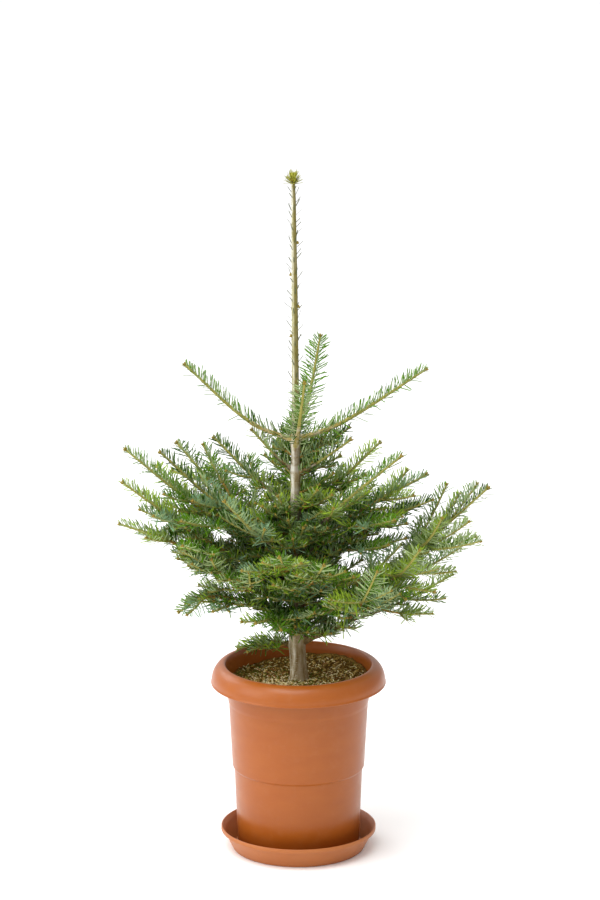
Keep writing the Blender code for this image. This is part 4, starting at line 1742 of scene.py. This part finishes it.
@dataclass
class Soil:
    """The soil: a rough heap of crumbs, bark chips and straw, with moss at the trunk's foot.

    The soil dips outside flat_radius, and is heaped against the pot at heap_azimuth. Straw and tan
    chips lie mostly within straw_reach of the mound, and moss round the trunk and at moss_at.
    """

    level: float = 0.3020
    dip: float = 0.0030
    flat_radius: float = 0.030
    edge_radius: float = 0.1229
    heap: float = 0.015
    heap_azimuth: float = 55.0
    mound: float = 0.006
    mound_at: Triple = (-0.030, -0.055, 0.0)
    mound_reach: float = 0.034
    straw_reach: float = 0.055
    straw_elsewhere: float = 0.16
    moss_at: Triple = (-0.080, 0.045, 0.0)
    moss_reach: float = 0.03
    moss_elsewhere: float = 0.06
    lumps: tuple[Pair, ...] = ((0.026, 0.0045), (0.011, 0.0026), (0.005, 0.0011))
    depth: float = 0.030
    foot_share: float = 0.985
    rings: int = 44
    steps: int = 132
    litter_seed: int = 500
    # Litter lies between the trunk's foot and the pot's wall.
    litter_ring: Pair = (0.018, 0.1159)
    litter_lift: float = 0.0006
    litter_scale: Pair = (0.6, 1.3)
    # How far scraps are tilted and rolled, in radians, and how steeply moss stands.
    litter_tilt: Pair = (-0.5, 0.5)
    litter_roll: Pair = (-0.7, 0.7)
    moss_tilt: Pair = (-1.5, -0.6)

    def height(self, x: float, y: float) -> float:
        """Find the soil's height.

        Args:
            x: The place along X.
            y: The place along Y.

        Returns:
            The height there.
        """
        radius = math.hypot(x, y)
        spread = max(0.0, (radius - self.flat_radius) / (self.edge_radius - self.flat_radius))
        turn = math.atan2(y, x) - math.radians(self.heap_azimuth)
        top = self.level - self.dip * min(1.0, spread * 3)
        top += self.heap * max(0.0, math.cos(turn)) ** 2 * spread**2
        place = Vector((x, y, 0.0))
        away = (place - Vector(self.mound_at)).length / self.mound_reach
        top += self.mound * math.exp(-away * away)
        for size, rise in self.lumps:
            top += rise * noise.noise(place / size)
        return top

    def build(self) -> None:
        """Build the soil and what lies on it."""
        work = bmesh.new()
        line_of(work, [(self.edge_radius * k / self.rings, 0.0) for k in range(self.rings + 1)])
        spin(work, self.steps)
        for vertex in work.verts:
            vertex.co.z = self.height(vertex.co.x, vertex.co.y)
        rim = [edge for edge in work.edges if edge.is_boundary]
        skirt = bmesh.ops.extrude_edge_only(work, edges=rim)["geom"]
        low = [item for item in skirt if isinstance(item, BMVert)]
        for vertex in low:
            vertex.co *= self.foot_share
            vertex.co.z = self.level - self.depth
        bmesh.ops.contextual_create(work, geom=low)
        bmesh.ops.recalc_face_normals(work, faces=work.faces)
        soil = finished("soil_surface", mesh_from(work), SOIL)
        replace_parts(soil, "soil")
        self.scatter()

    def scrap(self, kind: Litter) -> BMesh:
        """Shape one scrap of litter, a unit long.

        Args:
            kind: What it is.

        Returns:
            The pattern's bmesh.
        """
        work = bmesh.new()
        if kind in (Litter.DARK_CRUMBS, Litter.BROWN_CRUMBS):
            bmesh.ops.create_icosphere(work, subdivisions=1, radius=0.5)
            for vertex in work.verts:
                vertex.co *= 1.0 + 0.35 * noise.noise(vertex.co * 3)
            return work
        bmesh.ops.create_cube(work, size=1.0)
        long = [edge for edge in work.edges if abs(edge.verts[0].co.x - edge.verts[1].co.x) > 0.5]
        bmesh.ops.subdivide_edges(work, edges=long, cuts=2)
        for vertex in work.verts:
            vertex.co.y *= 1.0 - 1.1 * abs(vertex.co.x)
            vertex.co.z += 0.5 * math.cos(vertex.co.x * 3.0)
        return work

    def scatter(self) -> None:
        """Scatter the crumbs, chips, straw and moss, one piece for each kind."""
        for number, kind in enumerate(Litter):
            finish, size = kind.value.finish, kind.value.size
            dice = random.Random(self.litter_seed + number)
            heap = Copies(self.scrap(kind))
            for _ in range(kind.value.count):
                x, y = self.spot(kind, dice)
                turn = dice.uniform(0, math.tau)
                tilt = dice.uniform(*self.litter_tilt)
                if kind is Litter.MOSS:
                    tilt = dice.uniform(*self.moss_tilt)
                flat = math.cos(tilt)
                x_axis = Vector((math.cos(turn) * flat, math.sin(turn) * flat, -math.sin(tilt)))
                y_axis = UP.cross(x_axis).normalized()
                roll = dice.uniform(*self.litter_roll)
                side = y_axis * math.cos(roll) + x_axis.cross(y_axis) * math.sin(roll)
                scale = dice.uniform(*self.litter_scale)
                lengths = [length * scale for length in size]
                axes = (x_axis * lengths[0], side * lengths[1], x_axis.cross(side) * lengths[2])
                z = self.height(x, y) + size[2] * 0.4 + self.litter_lift
                heap.place_one(Vector((x, y, z)), axes)
            finished(finish.name, heap.joined(), finish, False)

    def spot(self, kind: Litter, dice: random.Random) -> Pair:
        """Choose where a scrap lies.

        Args:
            kind: What it is.
            dice: The random numbers.

        Returns:
            Its place along X and Y.
        """
        while True:
            radius = self.litter_ring[1] * math.sqrt(dice.random())
            turn = dice.uniform(0, math.tau)
            x, y = radius * math.cos(turn), radius * math.sin(turn)
            if radius < self.litter_ring[0]:
                continue
            place = Vector((x, y, 0.0))
            near = math.exp(-(((place - Vector(self.mound_at)).length / self.straw_reach) ** 2))
            straw = self.straw_elsewhere + (1.0 - self.straw_elsewhere) * near
            if kind in (Litter.STRAW, Litter.TAN_CHIPS) and dice.random() > straw:
                continue
            damp = math.exp(-(((radius - 0.02) / self.moss_reach) ** 2)) + self.moss_elsewhere
            damp += math.exp(-(((place - Vector(self.moss_at)).length / self.moss_reach) ** 2))
            if kind is Litter.MOSS and dice.random() > damp:
                continue
            return x, y


# Studio


@dataclass
class Studio:
    """A white floor, soft studio light and a camera at the photo's angle."""

    camera_place: Triple = (0.0026, -7.5, 2.711)
    camera_pitch: float = 14.93
    lens_mm: float = 182.6
    sensor_mm: float = 36.0
    floor_half: float = 60.0
    floor_gap: float = 0.0002
    floor_white: float = 0.985
    # The sky is brighter on the left, where the photo's big window or softbox is, and overhead.
    world_across: Pair = (1.45, 0.60)
    world_upward: Pair = (0.72, 1.15)
    # Each softbox's name, place, width and power in watts. All aim at the middle of the crown.
    softboxes: tuple[tuple[str, Triple, float, float], ...] = (
        ("key_softbox", (-3.3, -1.4, 1.9), 2.4, 42.0),
        ("back_softbox", (-2.2, 1.9, 2.6), 2.2, 40.0),
        ("top_softbox", (-0.8, -1.8, 5.0), 3.0, 130.0),
    )
    aim: Triple = (0.0, 0.0, 0.5)

    def build(self) -> None:
        """Set the floor, the sky, the lights and the camera."""
        scene = bpy.context.scene
        scene.view_settings.view_transform = "Standard"
        work = bmesh.new()
        bmesh.ops.create_grid(work, x_segments=1, y_segments=1, size=self.floor_half)
        bmesh.ops.translate(work, verts=work.verts, vec=(0, 0, -self.floor_gap))
        floor = bpy.data.objects.new("floor", mesh_from(work))
        material, shader = new_material("white_floor", 0.9, 0.1)
        shader.inputs["Base Color"].default_value = (self.floor_white,) * 3 + (1.0,)
        floor.data.materials.append(material)
        scene.collection.objects.link(floor)
        scene.world = self.sky()
        for name, place, size, power in self.softboxes:
            data = bpy.data.lights.new(name, "AREA")
            data.shape = "RECTANGLE"
            data.size = data.size_y = size
            data.energy = power
            light = bpy.data.objects.new(name, data)
            light.location = place
            light.rotation_euler = (Vector(self.aim) - Vector(place)).to_track_quat("-Z", "Y").to_euler()
            scene.collection.objects.link(light)
        data = bpy.data.cameras.new("camera")
        data.lens = self.lens_mm
        data.sensor_width = self.sensor_mm
        camera = bpy.data.objects.new("camera", data)
        camera.location = self.camera_place
        camera.rotation_euler = (math.radians(90 - self.camera_pitch), 0.0, 0.0)
        scene.collection.objects.link(camera)
        scene.camera = camera

    def sky(self) -> World:
        """Set the soft light that comes from all around.

        Returns:
            The world.
        """
        world = bpy.data.worlds.new("studio")
        world.use_nodes = True
        background = world.node_tree.nodes["Background"]
        background.inputs["Color"].default_value = (1.0, 1.0, 1.0, 1.0)
        place = add_node(world, "TexCoord").outputs["Generated"]
        split = add_node(world, "SeparateXYZ", Vector=place)
        across = remapped(world, split.outputs["X"], (-1.0, 1.0), self.world_across)
        upward = remapped(world, split.outputs["Z"], (0.0, 1.0), self.world_upward)
        sky = combined(world, "MULTIPLY", across, upward)
        # The camera itself sees white paper where the sky would show past the floor.
        seen = add_node(world, "LightPath").outputs["Is Camera Ray"]
        paper = combined(world, "MAXIMUM", sky, seen)
        world.node_tree.links.new(paper, background.inputs["Strength"])
        return world


def main() -> None:
    """Build the pot, the plant and the studio."""
    logging.basicConfig(level=logging.INFO, format="%(name)s: %(message)s")
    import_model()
    trunk = Trunk()
    Saucer().build()
    Pot().build()
    Soil().build()
    trunk.build()
    Crown(trunk).build()
    Leader(trunk).build()
    Studio().build()
    bpy.context.view_layer.update()


if __name__ == "__main__":
    main()
